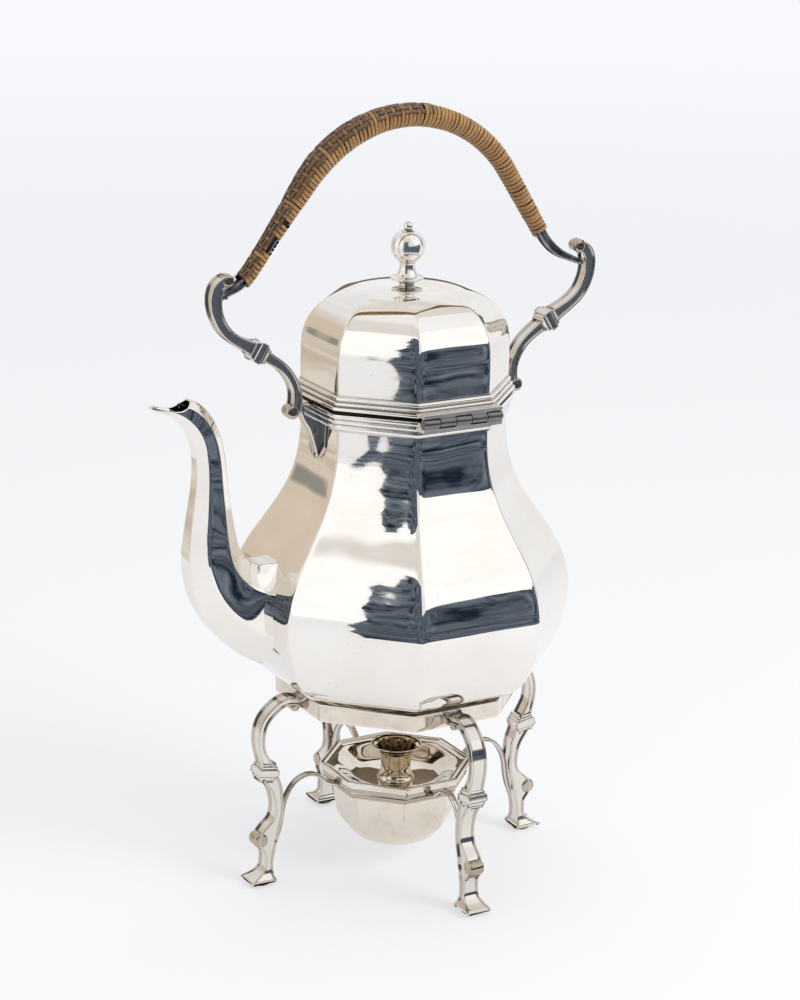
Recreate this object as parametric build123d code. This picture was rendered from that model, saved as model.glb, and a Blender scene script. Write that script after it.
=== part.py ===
"""Spirit kettle on stand: an eight-sided silver kettle with a side-hinged lid, a fixed cane-bound
bail handle, and a four-legged stand that carries a lift-out spirit lamp.

Units are millimetres. The origin is on the kettle's upright axis at table level, +Z is up, the
spout points along -X, the lid's hinge is on the -Y side and the handle stands in the XZ plane.
Radii of eight-sided pieces are corner radii, and a flat faces each of +-X and +-Y.
"""
from build123d import *
import math
import os

# ---------------------------------------------------------------- driving dimensions
SIDES = 8
CLEARANCE = 0.3            # gap between pieces that lift or swing apart
SHEET = 1.2                # silver sheet of body, spout and stand
THIN_SHEET = 0.9           # sheet of lid and lamp

# stand
STAND_HEIGHT = 97.9        # table to the top of the stand's lip
RING_RADIUS = 60.4         # outer corner radius of the eight-sided band
RING_DEPTH = 9.0           # height of the band
RING_WALL = 1.5
LIP_SIZE = 1.6             # bead along the band's top edge
LEDGE_DROP = 0.7           # the ledge lies this far under the lip
LEDGE_THICKNESS = 1.2
LEDGE_BORE = 45.5          # radius of the round opening for the flame
LEG_REACH = 81.0           # axis to the outermost point of a leg's top curve
LEG_WIDTH = 8.2
LEG_KNOP_WIDTH = 10.6
FOOT_TOE = 82.6            # axis to the toe of a foot
FOOT_WIDTH = 13.4
FOOT_THICKNESS = 1.7
FOOT_BUTTON = 1.5          # height of the round button under a foot
LAMP_RING_RADIUS = 36.4    # outer corner radius of the ring that holds the lamp
LAMP_RING_TOP = 47.4
LAMP_RING_DEPTH = 6.0
BRACKET_WIDTH = 3.4
BRACKET_THICKNESS = 1.9

# kettle
FOOT_RIM_HEIGHT = 2.0      # ledge to the underside of the body
FOOT_RIM_WALL = 4.0
BASE_RADIUS = 60.0
BELLY_RADIUS = 83.4
NECK_RADIUS = 49.8
BELLY_HEIGHT = 41.3        # underside of the body to the widest level
BODY_HEIGHT = 140.2        # underside of the body to the neck's rim
COLLAR_DEPTH = 9.8
COLLAR_RADIUS = 53.4
STRAINER_HOLE = 2.2        # radius of the holes behind the spout
STRAINER_PITCH = 7.0

# spout
SPOUT_REACH = 132.6        # axis to the tip of the lip
SPOUT_RISE = 148.6         # underside of the body to the mouth
SPOUT_WALL = 1.0

# lid
LID_RIM_DEPTH = 7.5
LID_RADIUS = 50.1          # dome's corner radius at the rim
DOME_HEIGHT = 44.1         # top of the rim to the crown
FLANGE_DEPTH = 5.0         # how far the inner flange hangs into the neck
HINGE_RADIUS = 2.3
HINGE_PIN_RADIUS = 1.0
HINGE_PIN_FIT = 0.05
HINGE_STANDOFF = 4.2       # collar face to the hinge axis
HINGE_LENGTH = 42.0
KNUCKLES = 5
HINGE_STRIP = 1.6          # thickness of the two hinge strips

# finial
FINIAL_BALL = 8.1
FINIAL_HEIGHT = 26.1       # crown to the top of the ball's collar
FINIAL_BEAD = 2.3
FINIAL_ROD_RADIUS = 1.5
FINIAL_ROD_FIT = 0.05

# handle
ARM_ROOT = 58.8            # axis to the middle of an arm where it meets the neck
ARM_WIDTH = 7.6
ARM_KNOP_WIDTH = 10.6
ARM_REACH = 104.2          # axis to the outermost point of an arm's scroll
GRIP_RISE = 131.6          # neck's rim to the middle of the grip at its top
FRONT_SLOPE = 54.4         # slope of the bar's flank on the spout side, degrees
REAR_SLOPE = 57.0          # slope of the other flank
FRONT_CORNER = 85.1        # axis to the foot of the spout-side flank
REAR_CORNER = 79.7         # axis to the foot of the other flank
BAR_THICKNESS = 4.4
BAR_WIDTH = 5.6
TONGUE_WIDTH = 3.0
CANE_RADIUS = 5.7          # at the top of the grip
CANE_FRONT_END = -88.0     # x where the binding ends on the spout side
CANE_REAR_END = 73.5       # x where the binding ends on the other side
RIVET_RADIUS = 0.6
MOUNT_WIDTH = 11.0
MOUNT_DEPTH = 26.0

# lamp
LAMP_RADIUS = 38.2         # corner radius of the lamp's rim
LAMP_RIM = 3.4             # thickness of the rim
BOWL_RADIUS = 31.0
BOWL_DEPTH = 36.9
DISH_RADIUS = 31.0
DISH_DEPTH = 9.2
HOLDER_MOUTH = 12.0
HOLDER_NECK = 7.4
HOLDER_HEIGHT = 19.6       # dish floor to the mouth
HOLDER_TAIL = 17.0         # tube under the dish floor
WICK_RADIUS = 5.6

# ---------------------------------------------------------------- derived levels
TURN = 360 / SIDES
FLAT = math.cos(math.radians(TURN / 2))          # flat distance over corner radius
LEDGE_TOP = STAND_HEIGHT - LEDGE_DROP
BODY_BOTTOM = LEDGE_TOP + FOOT_RIM_HEIGHT
BELLY_LEVEL = BODY_BOTTOM + BELLY_HEIGHT
NECK_TOP = BODY_BOTTOM + BODY_HEIGHT
FOOT_RIM_RADIUS = RING_RADIUS * FLAT - RING_WALL - 2 * CLEARANCE
LID_BOTTOM = NECK_TOP + CLEARANCE
LID_RIM_TOP = LID_BOTTOM + LID_RIM_DEPTH
CROWN = LID_RIM_TOP + DOME_HEIGHT
LID_RIM_RADIUS = COLLAR_RADIUS
NECK_BORE = NECK_RADIUS - SHEET / FLAT
HINGE_Y = -(COLLAR_RADIUS * FLAT + HINGE_STANDOFF)
HINGE_Z = NECK_TOP - 0.8
LAMP_TOP = LAMP_RING_TOP + LAMP_RIM
DISH_FLOOR = LAMP_TOP - DISH_DEPTH
HOLDER_TOP = DISH_FLOOR + HOLDER_HEIGHT
BALL_LEVEL = CROWN + FINIAL_HEIGHT - FINIAL_BALL
FAR = 400.0                                       # longer than any piece


# ---------------------------------------------------------------- ways of making
def closed_face(points, smooth):
    """Face in the XZ plane under a half outline, mirrored across the axis."""
    right = [(x, z) for x, z in points]
    left = [(-x, z) for x, z in reversed(points)]
    with BuildSketch(Plane.XZ) as sketch:
        with BuildLine():
            if smooth:
                Spline(*right)
                Spline(*left)
            else:
                Polyline(*right)
                Polyline(*left)
            Line(right[-1], left[0])
            Line(left[-1], right[0])
        make_face()
    return sketch.sketch


def eight_sided(points, smooth=True):
    """Solid with flat-sided panels whose corners follow the outline of (corner radius, level)."""
    face = closed_face([(radius * FLAT, level) for radius, level in points], smooth)
    slab = extrude(face, FAR, both=True)
    solid = slab
    for k in range(1, SIDES // 2):
        solid = solid & Rot(0, 0, k * TURN) * slab
    return solid


def turned(points, smooth=False):
    """Solid of revolution inside the outline of (radius, level), from the axis out."""
    closing = [points[-1], (0, points[-1][1]), (0, points[0][1])]
    if points[0][0] > 0:
        closing.append(points[0])
    with BuildPart() as part:
        with BuildSketch(Plane.XZ):
            with BuildLine():
                if smooth:
                    Spline(*points)
                else:
                    Polyline(*points)
                Polyline(*closing)
            make_face()
        revolve(axis=Axis.Z)
    return part.part


def octagon_prism(radius, low, high):
    """Upright eight-sided block with the given corner radius."""
    block = extrude(RegularPolygon(radius, SIDES), high - low)
    return Pos(0, 0, low) * Rot(0, 0, TURN / 2) * block


def normals(points):
    """Unit normals, to the left of the direction of travel, at each point of a line."""
    result = []
    for i in range(len(points)):
        before = points[max(i - 1, 0)]
        after = points[min(i + 1, len(points) - 1)]
        dx, dz = after[0] - before[0], after[1] - before[1]
        length = math.hypot(dx, dz)
        result.append((-dz / length, dx / length))
    return result


def inset(points, distance):
    """Outline moved sideways: to the right of the direction of travel if distance is positive."""
    return [(p[0] - n[0] * distance, p[1] - n[1] * distance)
            for p, n in zip(points, normals(points))]


def ribbon(points, width):
    """Bar in the XZ plane: points are (x, z, half thickness), width is measured along Y."""
    sides = normals(points)
    left = [(p[0] + n[0] * p[2], p[1] + n[1] * p[2]) for p, n in zip(points, sides)]
    right = [(p[0] - n[0] * p[2], p[1] - n[1] * p[2]) for p, n in zip(points, sides)]
    with BuildSketch(Plane.XZ) as sketch:
        with BuildLine():
            Spline(*left)
            Line(left[-1], right[-1])
            Spline(*right[::-1])
            Line(right[0], left[0])
        make_face()
    return extrude(sketch.sketch, width / 2, both=True)


def tilted_box(x, z, along, across, width, slope):
    """Box centred on (x, 0, z), its long side 'along' rising at 'slope' degrees."""
    return Pos(x, 0, z) * Rot(0, -slope, 0) * Box(along, width, across)


def knop(x, z, slope, across, width):
    """Moulded square knop: a thick middle block between two thinner fillets."""
    middle = tilted_box(x, z, 3.4, across, width, slope)
    shoulders = tilted_box(x, z, 6.4, across - 1.6, width - 1.6, slope)
    neck = tilted_box(x, z, 9.6, across - 3.6, width - 3.0, slope)
    return middle + shoulders + neck


def roll(x, z, radius, width):
    """Rolled end of a scroll: a short round bar along Y."""
    return Pos(x, 0, z) * Rot(90, 0, 0) * Cylinder(radius, width)


def write(node, shape):
    """Writes one node and reports its solids and volume."""
    shape.label = node
    export_step(shape, os.path.join("parts", node + ".step"))
    print(f"{node:24s} {len(shape.solids()):2d} solids {shape.volume:10.1f} mm3")


# ---------------------------------------------------------------- kettle body
def body_outline():
    """Corner outline of the body from the neck's rim down to its underside."""
    shoulder = [(0.0, 0.0), (0.176, 0.0), (0.378, 0.113), (0.540, 0.363),
                (0.702, 0.70), (0.853, 0.926), (1.0, 1.0)]
    flank = [(0.72, 0.945), (0.48, 0.83), (0.22, 0.60), (0.09, 0.36), (0.0, 0.0)]
    upper = [(NECK_RADIUS + out * (BELLY_RADIUS - NECK_RADIUS),
              NECK_TOP - down * (NECK_TOP - BELLY_LEVEL)) for down, out in shoulder]
    lower = [(BASE_RADIUS + out * (BELLY_RADIUS - BASE_RADIUS),
              BODY_BOTTOM + up * BELLY_HEIGHT) for up, out in flank]
    return upper + lower


def body_outer():
    return eight_sided(body_outline())


def body_inner():
    """Hollow of the body: the same outline moved in by the sheet, with a flat floor."""
    line = inset(body_outline(), SHEET / FLAT)
    floor = BODY_BOTTOM + SHEET
    kept = [(radius, level) for radius, level in line if level > floor + 3 * SHEET]
    top = (NECK_BORE, NECK_TOP + SHEET)
    return eight_sided([top] + kept[1:] + [(BASE_RADIUS - SHEET, floor)])


def kettle_body(outer):
    bore = FOOT_RIM_RADIUS - FOOT_RIM_WALL - 2 * SHEET
    body = outer - body_inner()
    body = body - Pos(0, 0, BODY_BOTTOM) * Cylinder(bore, 8 * SHEET)
    return body - strainer_holes()


def strainer_holes():
    """Seven holes through the wall behind the spout."""
    centres = [(0, 0)] + [(STRAINER_PITCH * math.cos(math.radians(a)),
                           STRAINER_PITCH * math.sin(math.radians(a))) for a in range(30, 390, 60)]
    depth = BELLY_RADIUS - NECK_RADIUS
    drills = [Pos(-BELLY_RADIUS * FLAT, y, BELLY_LEVEL + z) * Rot(0, 90, 0)
              * Cylinder(STRAINER_HOLE, depth) for y, z in centres]
    return Compound(drills)


def kettle_base():
    """Round base plate let into the underside, with the foot rim that stands on the ledge."""
    rim_bore = FOOT_RIM_RADIUS - FOOT_RIM_WALL
    plate = Pos(0, 0, BODY_BOTTOM - SHEET / 2) * Cylinder(FOOT_RIM_RADIUS, SHEET)
    rim_height = FOOT_RIM_HEIGHT - SHEET
    rim = Cylinder(FOOT_RIM_RADIUS, rim_height) - Cylinder(rim_bore, rim_height)
    return plate + Pos(0, 0, LEDGE_TOP + rim_height / 2) * rim


def reeds(low, high, small, large):
    """Stepped moulding: corner outline that grows from small at low to large at high."""
    rise, grow = high - low, large - small
    steps = [(0.0, 0.0), (0.0, 0.12), (0.22, 0.16), (0.30, 0.24), (0.22, 0.34), (0.22, 0.40),
             (0.55, 0.46), (0.64, 0.56), (0.55, 0.66), (0.55, 0.72), (0.92, 0.78),
             (1.0, 0.88), (1.0, 1.0)]
    return [(small + out * grow, low + up * rise) for out, up in steps]


def collar_blank():
    low = NECK_TOP - COLLAR_DEPTH
    return eight_sided(reeds(low, NECK_TOP, NECK_RADIUS + 1.0, COLLAR_RADIUS)[::-1], False)


def neck_collar():
    low = NECK_TOP - COLLAR_DEPTH
    return collar_blank() - octagon_prism(NECK_RADIUS, low - 1, NECK_TOP + 1)


# ---------------------------------------------------------------- spout
def spout_stations():
    """(x, z, direction in degrees, half height, half width) from the root to the tip."""
    x, z = -SPOUT_REACH, BODY_BOTTOM + SPOUT_RISE
    return [(x + 74.6, z - 110.3, 165, 27.0, 16.0), (x + 62.0, z - 106.8, 163, 26.0, 15.6),
            (x + 49.8, z - 102.5, 156, 22.6, 14.6), (x + 40.8, z - 95.8, 139, 18.8, 13.2),
            (x + 34.4, z - 87.3, 121, 16.0, 12.2), (x + 31.0, z - 77.8, 103, 13.8, 11.6),
            (x + 29.9, z - 66.8, 92, 11.8, 10.8), (x + 29.8, z - 52.8, 89, 9.6, 9.4),
            (x + 29.7, z - 38.8, 91, 7.8, 8.0), (x + 29.0, z - 26.8, 98, 7.2, 7.2),
            (x + 25.5, z - 14.8, 118, 6.9, 6.9), (x + 20.1, z - 7.3, 141, 6.4, 6.4),
            (x + 12.6, z - 2.8, 160, 4.4, 5.2), (x + 5.6, z - 1.0, 170, 2.3, 3.4),
            (x, z - 0.6, 175, 1.1, 1.8)]


def spout_section(station, shrink):
    """Eight-sided section across the spout, narrower than the outside by 'shrink'."""
    x, z, direction, half_height, half_width = station
    turn = math.radians(direction)
    plane = Plane(origin=(x, 0, z), x_dir=(-math.sin(turn), 0, math.cos(turn)),
                  z_dir=(math.cos(turn), 0, math.sin(turn)))
    corner = math.tan(math.radians(TURN / 2))
    tall, wide = half_height - shrink, half_width - shrink
    points = [(tall, wide * corner), (tall * corner, wide), (-tall * corner, wide),
              (-tall, wide * corner), (-tall, -wide * corner), (-tall * corner, -wide),
              (tall * corner, -wide), (tall, -wide * corner)]
    return plane * Polygon(*points, align=None)


def spout_loft(shrink, stations):
    return loft([spout_section(s, shrink) for s in stations])


def spout(outer_body):
    """Swan-neck spout, open at the root and cut to a beaked lip."""
    stations = spout_stations()
    mouth = BODY_BOTTOM + SPOUT_RISE
    above = Pos(-SPOUT_REACH, 0, mouth + FAR / 2) * Box(4 * SPOUT_REACH, FAR, FAR)
    return (spout_loft(0, stations) - above - outer_body) - spout_loft(SPOUT_WALL, stations[:-2])


# ---------------------------------------------------------------- lid
def dome_outline(grow=0.0, roundness=0.0):
    """Outline of the dome from near the crown's centre out and down to the rim's level.
    With roundness 0 it is the corner line, with 1 the round body that softens the corners."""
    shape = [(0.20, 0.003), (0.40, 0.016), (0.559, 0.045), (0.685, 0.097), (0.79, 0.165),
             (0.87, 0.245), (0.946, 0.370), (0.990, 0.52), (1.0, 0.66), (1.0, 1.0)]
    soften = [0.07, 0.07, 0.06, 0.046, 0.030, 0.013, -0.004, -0.01, -0.01, -0.01]
    return [(out * (LID_RADIUS + grow) * (1 - roundness * less),
             CROWN + grow - down * (DOME_HEIGHT + grow)) for (out, down), less in zip(shape, soften)]


def dome_solid(grow, bottom):
    """Eight-sided dome whose corners melt into a round crown."""
    faceted = eight_sided([(0.02, CROWN + grow)] + dome_outline(grow))
    softened = turned([(0.0, CROWN + grow)] + dome_outline(grow, 1.0), True)
    return (faceted & softened) + octagon_prism(LID_RADIUS + grow, bottom, LID_RIM_TOP)


def lid_dome(outer):
    bore = FINIAL_ROD_RADIUS + FINIAL_ROD_FIT
    shell = outer - dome_solid(-THIN_SHEET / FLAT, LID_BOTTOM - 1)
    return shell - Pos(0, 0, CROWN) * Cylinder(bore, 8 * SHEET)


def lid_rim_blank():
    return eight_sided(reeds(LID_RIM_TOP, LID_BOTTOM, LID_RADIUS + 0.3, LID_RIM_RADIUS), False)


def lid_rim():
    return lid_rim_blank() - octagon_prism(LID_RADIUS, LID_BOTTOM - 1, LID_RIM_TOP + 1)


def lid_flange():
    """Ring soldered inside the lid that drops into the neck and keeps the lid on its seat."""
    outer = NECK_BORE - 2 * CLEARANCE / FLAT
    inner_dome = LID_RADIUS - THIN_SHEET / FLAT
    seat = octagon_prism(inner_dome, LID_BOTTOM, LID_BOTTOM + THIN_SHEET)
    wall = octagon_prism(outer, LID_BOTTOM - FLANGE_DEPTH, LID_BOTTOM + THIN_SHEET)
    bore = octagon_prism(outer - THIN_SHEET / FLAT, LID_BOTTOM - FAR, LID_BOTTOM + FAR)
    return seat + wall - bore


def knuckle_spans():
    step = HINGE_LENGTH / KNUCKLES
    return [(-HINGE_LENGTH / 2 + k * step, -HINGE_LENGTH / 2 + (k + 1) * step)
            for k in range(KNUCKLES)]


def hinge_leaf(upper, blank):
    """Hinge strip with its knuckles. The lid's leaf has the even knuckles, the body's the odd."""
    side = 1 if upper else -1
    reach = HINGE_STANDOFF + COLLAR_RADIUS - NECK_RADIUS
    overhang = HINGE_RADIUS / 2
    strip_low = HINGE_RADIUS + CLEARANCE
    strip = Pos(0, HINGE_Y + (reach - overhang) / 2, HINGE_Z + side * (strip_low + HINGE_STRIP / 2)) \
        * Box(HINGE_LENGTH, reach + overhang, HINGE_STRIP)
    leaf = strip
    web_low = CLEARANCE + 0.8 + 0.3 if upper else 0.0
    for k, (start, end) in enumerate(knuckle_spans()):
        if (k % 2 == 1) != upper:
            continue
        middle, length = (start + end) / 2, end - start - CLEARANCE
        barrel = Pos(middle, HINGE_Y, HINGE_Z) * Rot(0, 90, 0) * Cylinder(HINGE_RADIUS, length)
        web_tall = strip_low + HINGE_STRIP - web_low
        web = Pos(middle, HINGE_Y + reach / 2, HINGE_Z + side * (web_low + web_tall / 2)) \
            * Box(length, reach, web_tall)
        stem = Pos(middle, HINGE_Y, HINGE_Z + side * strip_low / 2 + side * 0.5) \
            * Box(length, HINGE_RADIUS, strip_low - 0.2)
        leaf = leaf + barrel + web + stem
    fit = HINGE_PIN_FIT if upper else 0.0
    drill = Pos(0, HINGE_Y, HINGE_Z) * Rot(0, 90, 0) * Cylinder(HINGE_PIN_RADIUS + fit, FAR)
    return leaf - drill - blank


def hinge_pin():
    return Pos(0, HINGE_Y, HINGE_Z) * Rot(0, 90, 0) * Cylinder(HINGE_PIN_RADIUS, HINGE_LENGTH)


# ---------------------------------------------------------------- finial
def finial(dome):
    """Turned knob: short foot, cupped flange, waisted neck and ball, bored for the rod."""
    ball, level = FINIAL_BALL, BALL_LEVEL
    arc = [(ball * math.cos(math.radians(a)), level + ball * math.sin(math.radians(a)))
           for a in range(-50, 75, 25)]
    outline = [(3.9, CROWN - 1.0), (3.7, CROWN + 0.3), (3.6, CROWN + 1.0), (5.2, CROWN + 1.9),
               (7.5, CROWN + 2.6), (7.9, CROWN + 3.2), (6.4, CROWN + 3.7), (4.9, CROWN + 5.0),
               (3.9, CROWN + 7.2), (3.6, CROWN + 9.4), (3.9, CROWN + 11.0)]
    outline += arc + [(3.2, level + ball - 0.3), (3.2, CROWN + FINIAL_HEIGHT)]
    rod = Pos(0, 0, CROWN) * Cylinder(FINIAL_ROD_RADIUS + FINIAL_ROD_FIT, FAR)
    return turned(outline) - rod - dome


def finial_rod():
    """Rod through the finial, with a bead for a head."""
    top = CROWN + FINIAL_HEIGHT
    low = CROWN - THIN_SHEET - 3.2
    shank = Pos(0, 0, (top + low) / 2) * Cylinder(FINIAL_ROD_RADIUS, top - low)
    bead = Pos(0, 0, top + FINIAL_BEAD * 0.75) * Sphere(FINIAL_BEAD)
    cut = Pos(0, 0, top - FINIAL_BEAD / 2) * Box(3 * FINIAL_BEAD, 3 * FINIAL_BEAD, FINIAL_BEAD)
    return shank + (bead - cut)


def finial_nut():
    height = 2.4
    top = CROWN - THIN_SHEET / FLAT - 0.05
    nut = extrude(RegularPolygon(3.4, 6), height) - Cylinder(FINIAL_ROD_RADIUS, 3 * height)
    return Pos(0, 0, top - height) * nut


# ---------------------------------------------------------------- handle
def bar_corners():
    """Feet of the two flanks and the peak where the flanks' lines meet above the grip."""
    level = NECK_TOP + 61.3
    front, rear = math.tan(math.radians(FRONT_SLOPE)), math.tan(math.radians(REAR_SLOPE))
    rise = (FRONT_CORNER + REAR_CORNER) / (1 / front + 1 / rear)
    return (-FRONT_CORNER, level), (REAR_CORNER - rise / rear, level + rise), (REAR_CORNER, level)


def bar_end():
    """Middle of the bar's tip inside a scroll, on the +X side."""
    return ARM_REACH - 5.5, NECK_TOP + 53.5


def bar_path():
    front, peak, rear = bar_corners()
    end_x, end_z = bar_end()
    half = math.radians((FRONT_SLOPE + REAR_SLOPE) / 2)
    bend = (peak[1] - NECK_TOP - GRIP_RISE) / (1 / math.cos(half) - 1)
    with BuildLine(Plane.XZ) as line:
        FilletPolyline((-end_x, end_z), front, peak, rear, (end_x, end_z),
                       radius=(30.0, bend, 30.0))
    return line.wire()


def handle_bar():
    """Forged bar of the bail. It thins to a tongue at each end, drilled for a rivet."""
    path = bar_path()
    stops = [0.0, 0.025, 0.05, 0.08, 0.12, 0.2, 0.28, 0.34, 0.40, 0.45]
    points = []
    for share in stops + [0.5] + [1 - s for s in reversed(stops)]:
        at = path.position_at(share)
        thick = min(1.0, 0.55 + 6.0 * min(share, 1 - share))
        points.append((at.X, at.Z, BAR_THICKNESS / 2 * thick))
    bar = ribbon(points, BAR_WIDTH)
    shoulder = bar_end()[0] - 7.0
    for side in (-1, 1):
        for y in (-1, 1):
            cheek = Pos(side * (shoulder + FAR / 2), y * (TONGUE_WIDTH + FAR) / 2, bar_end()[1])
            bar = bar - cheek * Box(FAR, FAR, FAR)
    return bar - rivets()


def handle_cane(bar):
    """Cane binding as one sleeve, thickest on the flank toward the spout."""
    path = bar_path()
    sizes = [(0.055, 0.74), (0.09, 0.76), (0.13, 0.74), (0.19, 0.84), (0.24, 1.0), (0.30, 1.12),
             (0.36, 1.12), (0.43, 1.05), (0.50, 1.0), (0.58, 0.97), (0.66, 0.93), (0.74, 0.88),
             (0.82, 0.83), (0.88, 0.78), (0.93, 0.76)]
    rings = []
    for share, size in sizes:
        plane = Plane(origin=path @ share, z_dir=path % share)
        rings.append(plane * Circle(CANE_RADIUS * size))
    sleeve = loft(rings)
    front = Pos(CANE_FRONT_END, 0, NECK_TOP + 58.5) * Rot(0, -FRONT_SLOPE + 8, 0) \
        * Pos(-FAR / 2, 0, 0) * Box(FAR, FAR, FAR)
    rear = Pos(CANE_REAR_END, 0, NECK_TOP + 70.8) * Rot(0, REAR_SLOPE, 0) \
        * Pos(FAR / 2, 0, 0) * Box(FAR, FAR, FAR)
    return sleeve - front - rear - bar


def arm_solid():
    """Arm on the +X side: lobed root, S-curve, moulded knop and C-scroll with a rolled tip."""
    x, z = ARM_ROOT, NECK_TOP
    reach = ARM_REACH - 103.5
    lower = [(x + 0.6, z - 2.0, 2.3), (x + 0.1, z + 5.0, 2.2), (x + 2.6, z + 12.8, 2.2),
             (x + 7.6, z + 19.2, 2.3), (x + 13.4, z + 23.4, 2.6), (x + 19.0, z + 27.2, 3.0)]
    upper = [(x + 19.0, z + 27.2, 3.6), (x + 24.4, z + 30.4, 3.2), (x + 30.4, z + 33.8, 2.7),
             (x + 36.0 + reach, z + 38.8, 2.6), (x + 40.2 + reach, z + 46.0, 2.7),
             (x + 41.5 + reach, z + 53.8, 2.9), (x + 39.5 + reach, z + 60.2, 2.9),
             (x + 35.6 + reach, z + 63.0, 2.6)]
    arm = ribbon(lower, ARM_WIDTH) + ribbon(upper, ARM_WIDTH)
    arm = arm + roll(x + 2.3, z - 2.8, 3.4, ARM_WIDTH)
    arm = arm + roll(x + 35.2 + reach, z + 62.5, 3.0, ARM_WIDTH)
    return arm + knop(x + 20.0, z + 27.6, 32, 10.4, ARM_KNOP_WIDTH)


def rivets():
    """Pins through the scrolls and the bar's tongues, one near each end of the bar."""
    path = bar_path()
    back = 2.9 / path.length
    pins = [path @ back, path @ (1 - back)]
    return Compound([roll(pin.X, pin.Z, RIVET_RADIUS, ARM_WIDTH) for pin in pins])


def neck_mount(body, collar):
    """Bracket on the +X side that joins an arm's root to the neck, with its leaf-shaped pad."""
    top, low = NECK_TOP - CLEARANCE, NECK_TOP - MOUNT_DEPTH
    outer = ARM_ROOT - 2.3
    inner = NECK_RADIUS * FLAT - 4
    with BuildSketch(Plane.XZ) as side:
        with BuildLine():
            Polyline((inner, top), (outer, top), (outer - 0.4, top - 5.4))
            Spline((outer - 0.4, top - 5.4), (outer - 3.6, top - 11.0), (outer - 6.6, top - 19.0),
                   (NECK_RADIUS * FLAT + 0.6, low))
            Polyline((NECK_RADIUS * FLAT + 0.6, low), (inner, low), (inner, top))
        make_face()
    wedge = extrude(side.sketch, MOUNT_WIDTH / 2, both=True)
    with BuildSketch(Plane.YZ.offset(inner)) as front:
        with BuildLine():
            Polyline((-MOUNT_WIDTH / 2, top), (MOUNT_WIDTH / 2, top))
            Spline((MOUNT_WIDTH / 2, top), (MOUNT_WIDTH / 3, top - 9), (1.2, low))
            Line((1.2, low), (-1.2, low))
            Spline((-1.2, low), (-MOUNT_WIDTH / 3, top - 9), (-MOUNT_WIDTH / 2, top))
        make_face()
    bracket = wedge & extrude(front.sketch, outer)
    pad_width = 16.0
    pad = Pos(NECK_RADIUS * FLAT, 0, (low + top) / 2 - 4.0) * Box(2.2, pad_width, MOUNT_DEPTH - 6)
    tip = Pos(NECK_RADIUS * FLAT, 0, low - 1.0) * Rot(0, 90, 0) * Cylinder(pad_width / 2, 2.2)
    cap = Pos(NECK_RADIUS * FLAT, 0, low - 5) * Box(6, FAR, 12)
    return bracket - body - collar + ((pad + (tip & cap)) - body - collar)


# ---------------------------------------------------------------- stand
def stand_ring():
    band = octagon_prism(RING_RADIUS, STAND_HEIGHT - RING_DEPTH, STAND_HEIGHT - LIP_SIZE / 2)
    lip = octagon_prism(RING_RADIUS + LIP_SIZE / 3, STAND_HEIGHT - LIP_SIZE, STAND_HEIGHT)
    bore = octagon_prism(RING_RADIUS - RING_WALL / FLAT, STAND_HEIGHT - 2 * RING_DEPTH,
                         STAND_HEIGHT + RING_DEPTH)
    ledge = octagon_prism(RING_RADIUS - RING_WALL / (2 * FLAT), LEDGE_TOP - LEDGE_THICKNESS, LEDGE_TOP)
    ledge = ledge - Pos(0, 0, LEDGE_TOP) * Cylinder(LEDGE_BORE, RING_DEPTH)
    return (band + lip - bore) + ledge


def leg_level(drop):
    """Level of a point that lies 'drop' under the stand's top on a leg of the usual height."""
    pad_top = FOOT_BUTTON + FOOT_THICKNESS
    drawn_rise = 94.7          # the height over the pad that those points are drawn for
    return STAND_HEIGHT - drop * (STAND_HEIGHT - pad_top) / drawn_rise


def leg_out(x):
    """Distance from the axis of a leg point that lies x out from the ring's face."""
    drawn_reach = 81.0         # the reach that the points of leg_solid are drawn for
    bow = 18.0                 # from this far out a point takes the whole change of reach
    return RING_RADIUS * FLAT + x + (LEG_REACH - drawn_reach) * min(1.0, x / bow)


def leg_line(points):
    """Centre line of a leg from (distance out from the ring's face, drop, half thickness)."""
    return [(leg_out(x), leg_level(drop), half) for x, drop, half in points]


def leg_solid():
    """Leg on the +X side: curled top, C-curve, square knop, S-curve, knee scroll and foot."""
    curve = leg_line([(-0.2, 5.8, 2.1), (6.4, 4.5, 2.1), (13.2, 7.6, 2.1), (18.8, 13.6, 2.1),
                      (20.8, 21.0, 2.0), (19.9, 29.2, 2.0), (18.0, 34.4, 2.8), (17.0, 38.4, 4.0)])
    shaft = leg_line([(16.0, 41.0, 4.4), (14.4, 44.4, 3.6), (12.6, 48.2, 3.1), (11.3, 54.0, 2.5),
                      (10.9, 60.0, 2.3), (12.0, 66.4, 2.6), (14.1, 71.4, 3.2), (15.6, 75.9, 3.8),
                      (15.8, 80.4, 2.7), (16.0, 85.4, 2.2), (16.4, 89.4, 2.4)])
    curl, knee, block, ankle = leg_line([(2.4, 8.0, 2.3), (20.4, 74.6, 2.7), (17.0, 39.4, 5.4),
                                         (16.2, 89.4, 2.3)])
    leg = ribbon(curve, LEG_WIDTH) + ribbon(shaft, LEG_WIDTH)
    leg = leg + roll(*curl, LEG_WIDTH) + roll(*knee, LEG_WIDTH)
    leg = leg + knop(block[0], block[1], -80, 2 * block[2], LEG_KNOP_WIDTH)
    return leg + foot_pad(ankle[0]) - octagon_prism(RING_RADIUS, 0, STAND_HEIGHT)


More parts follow.
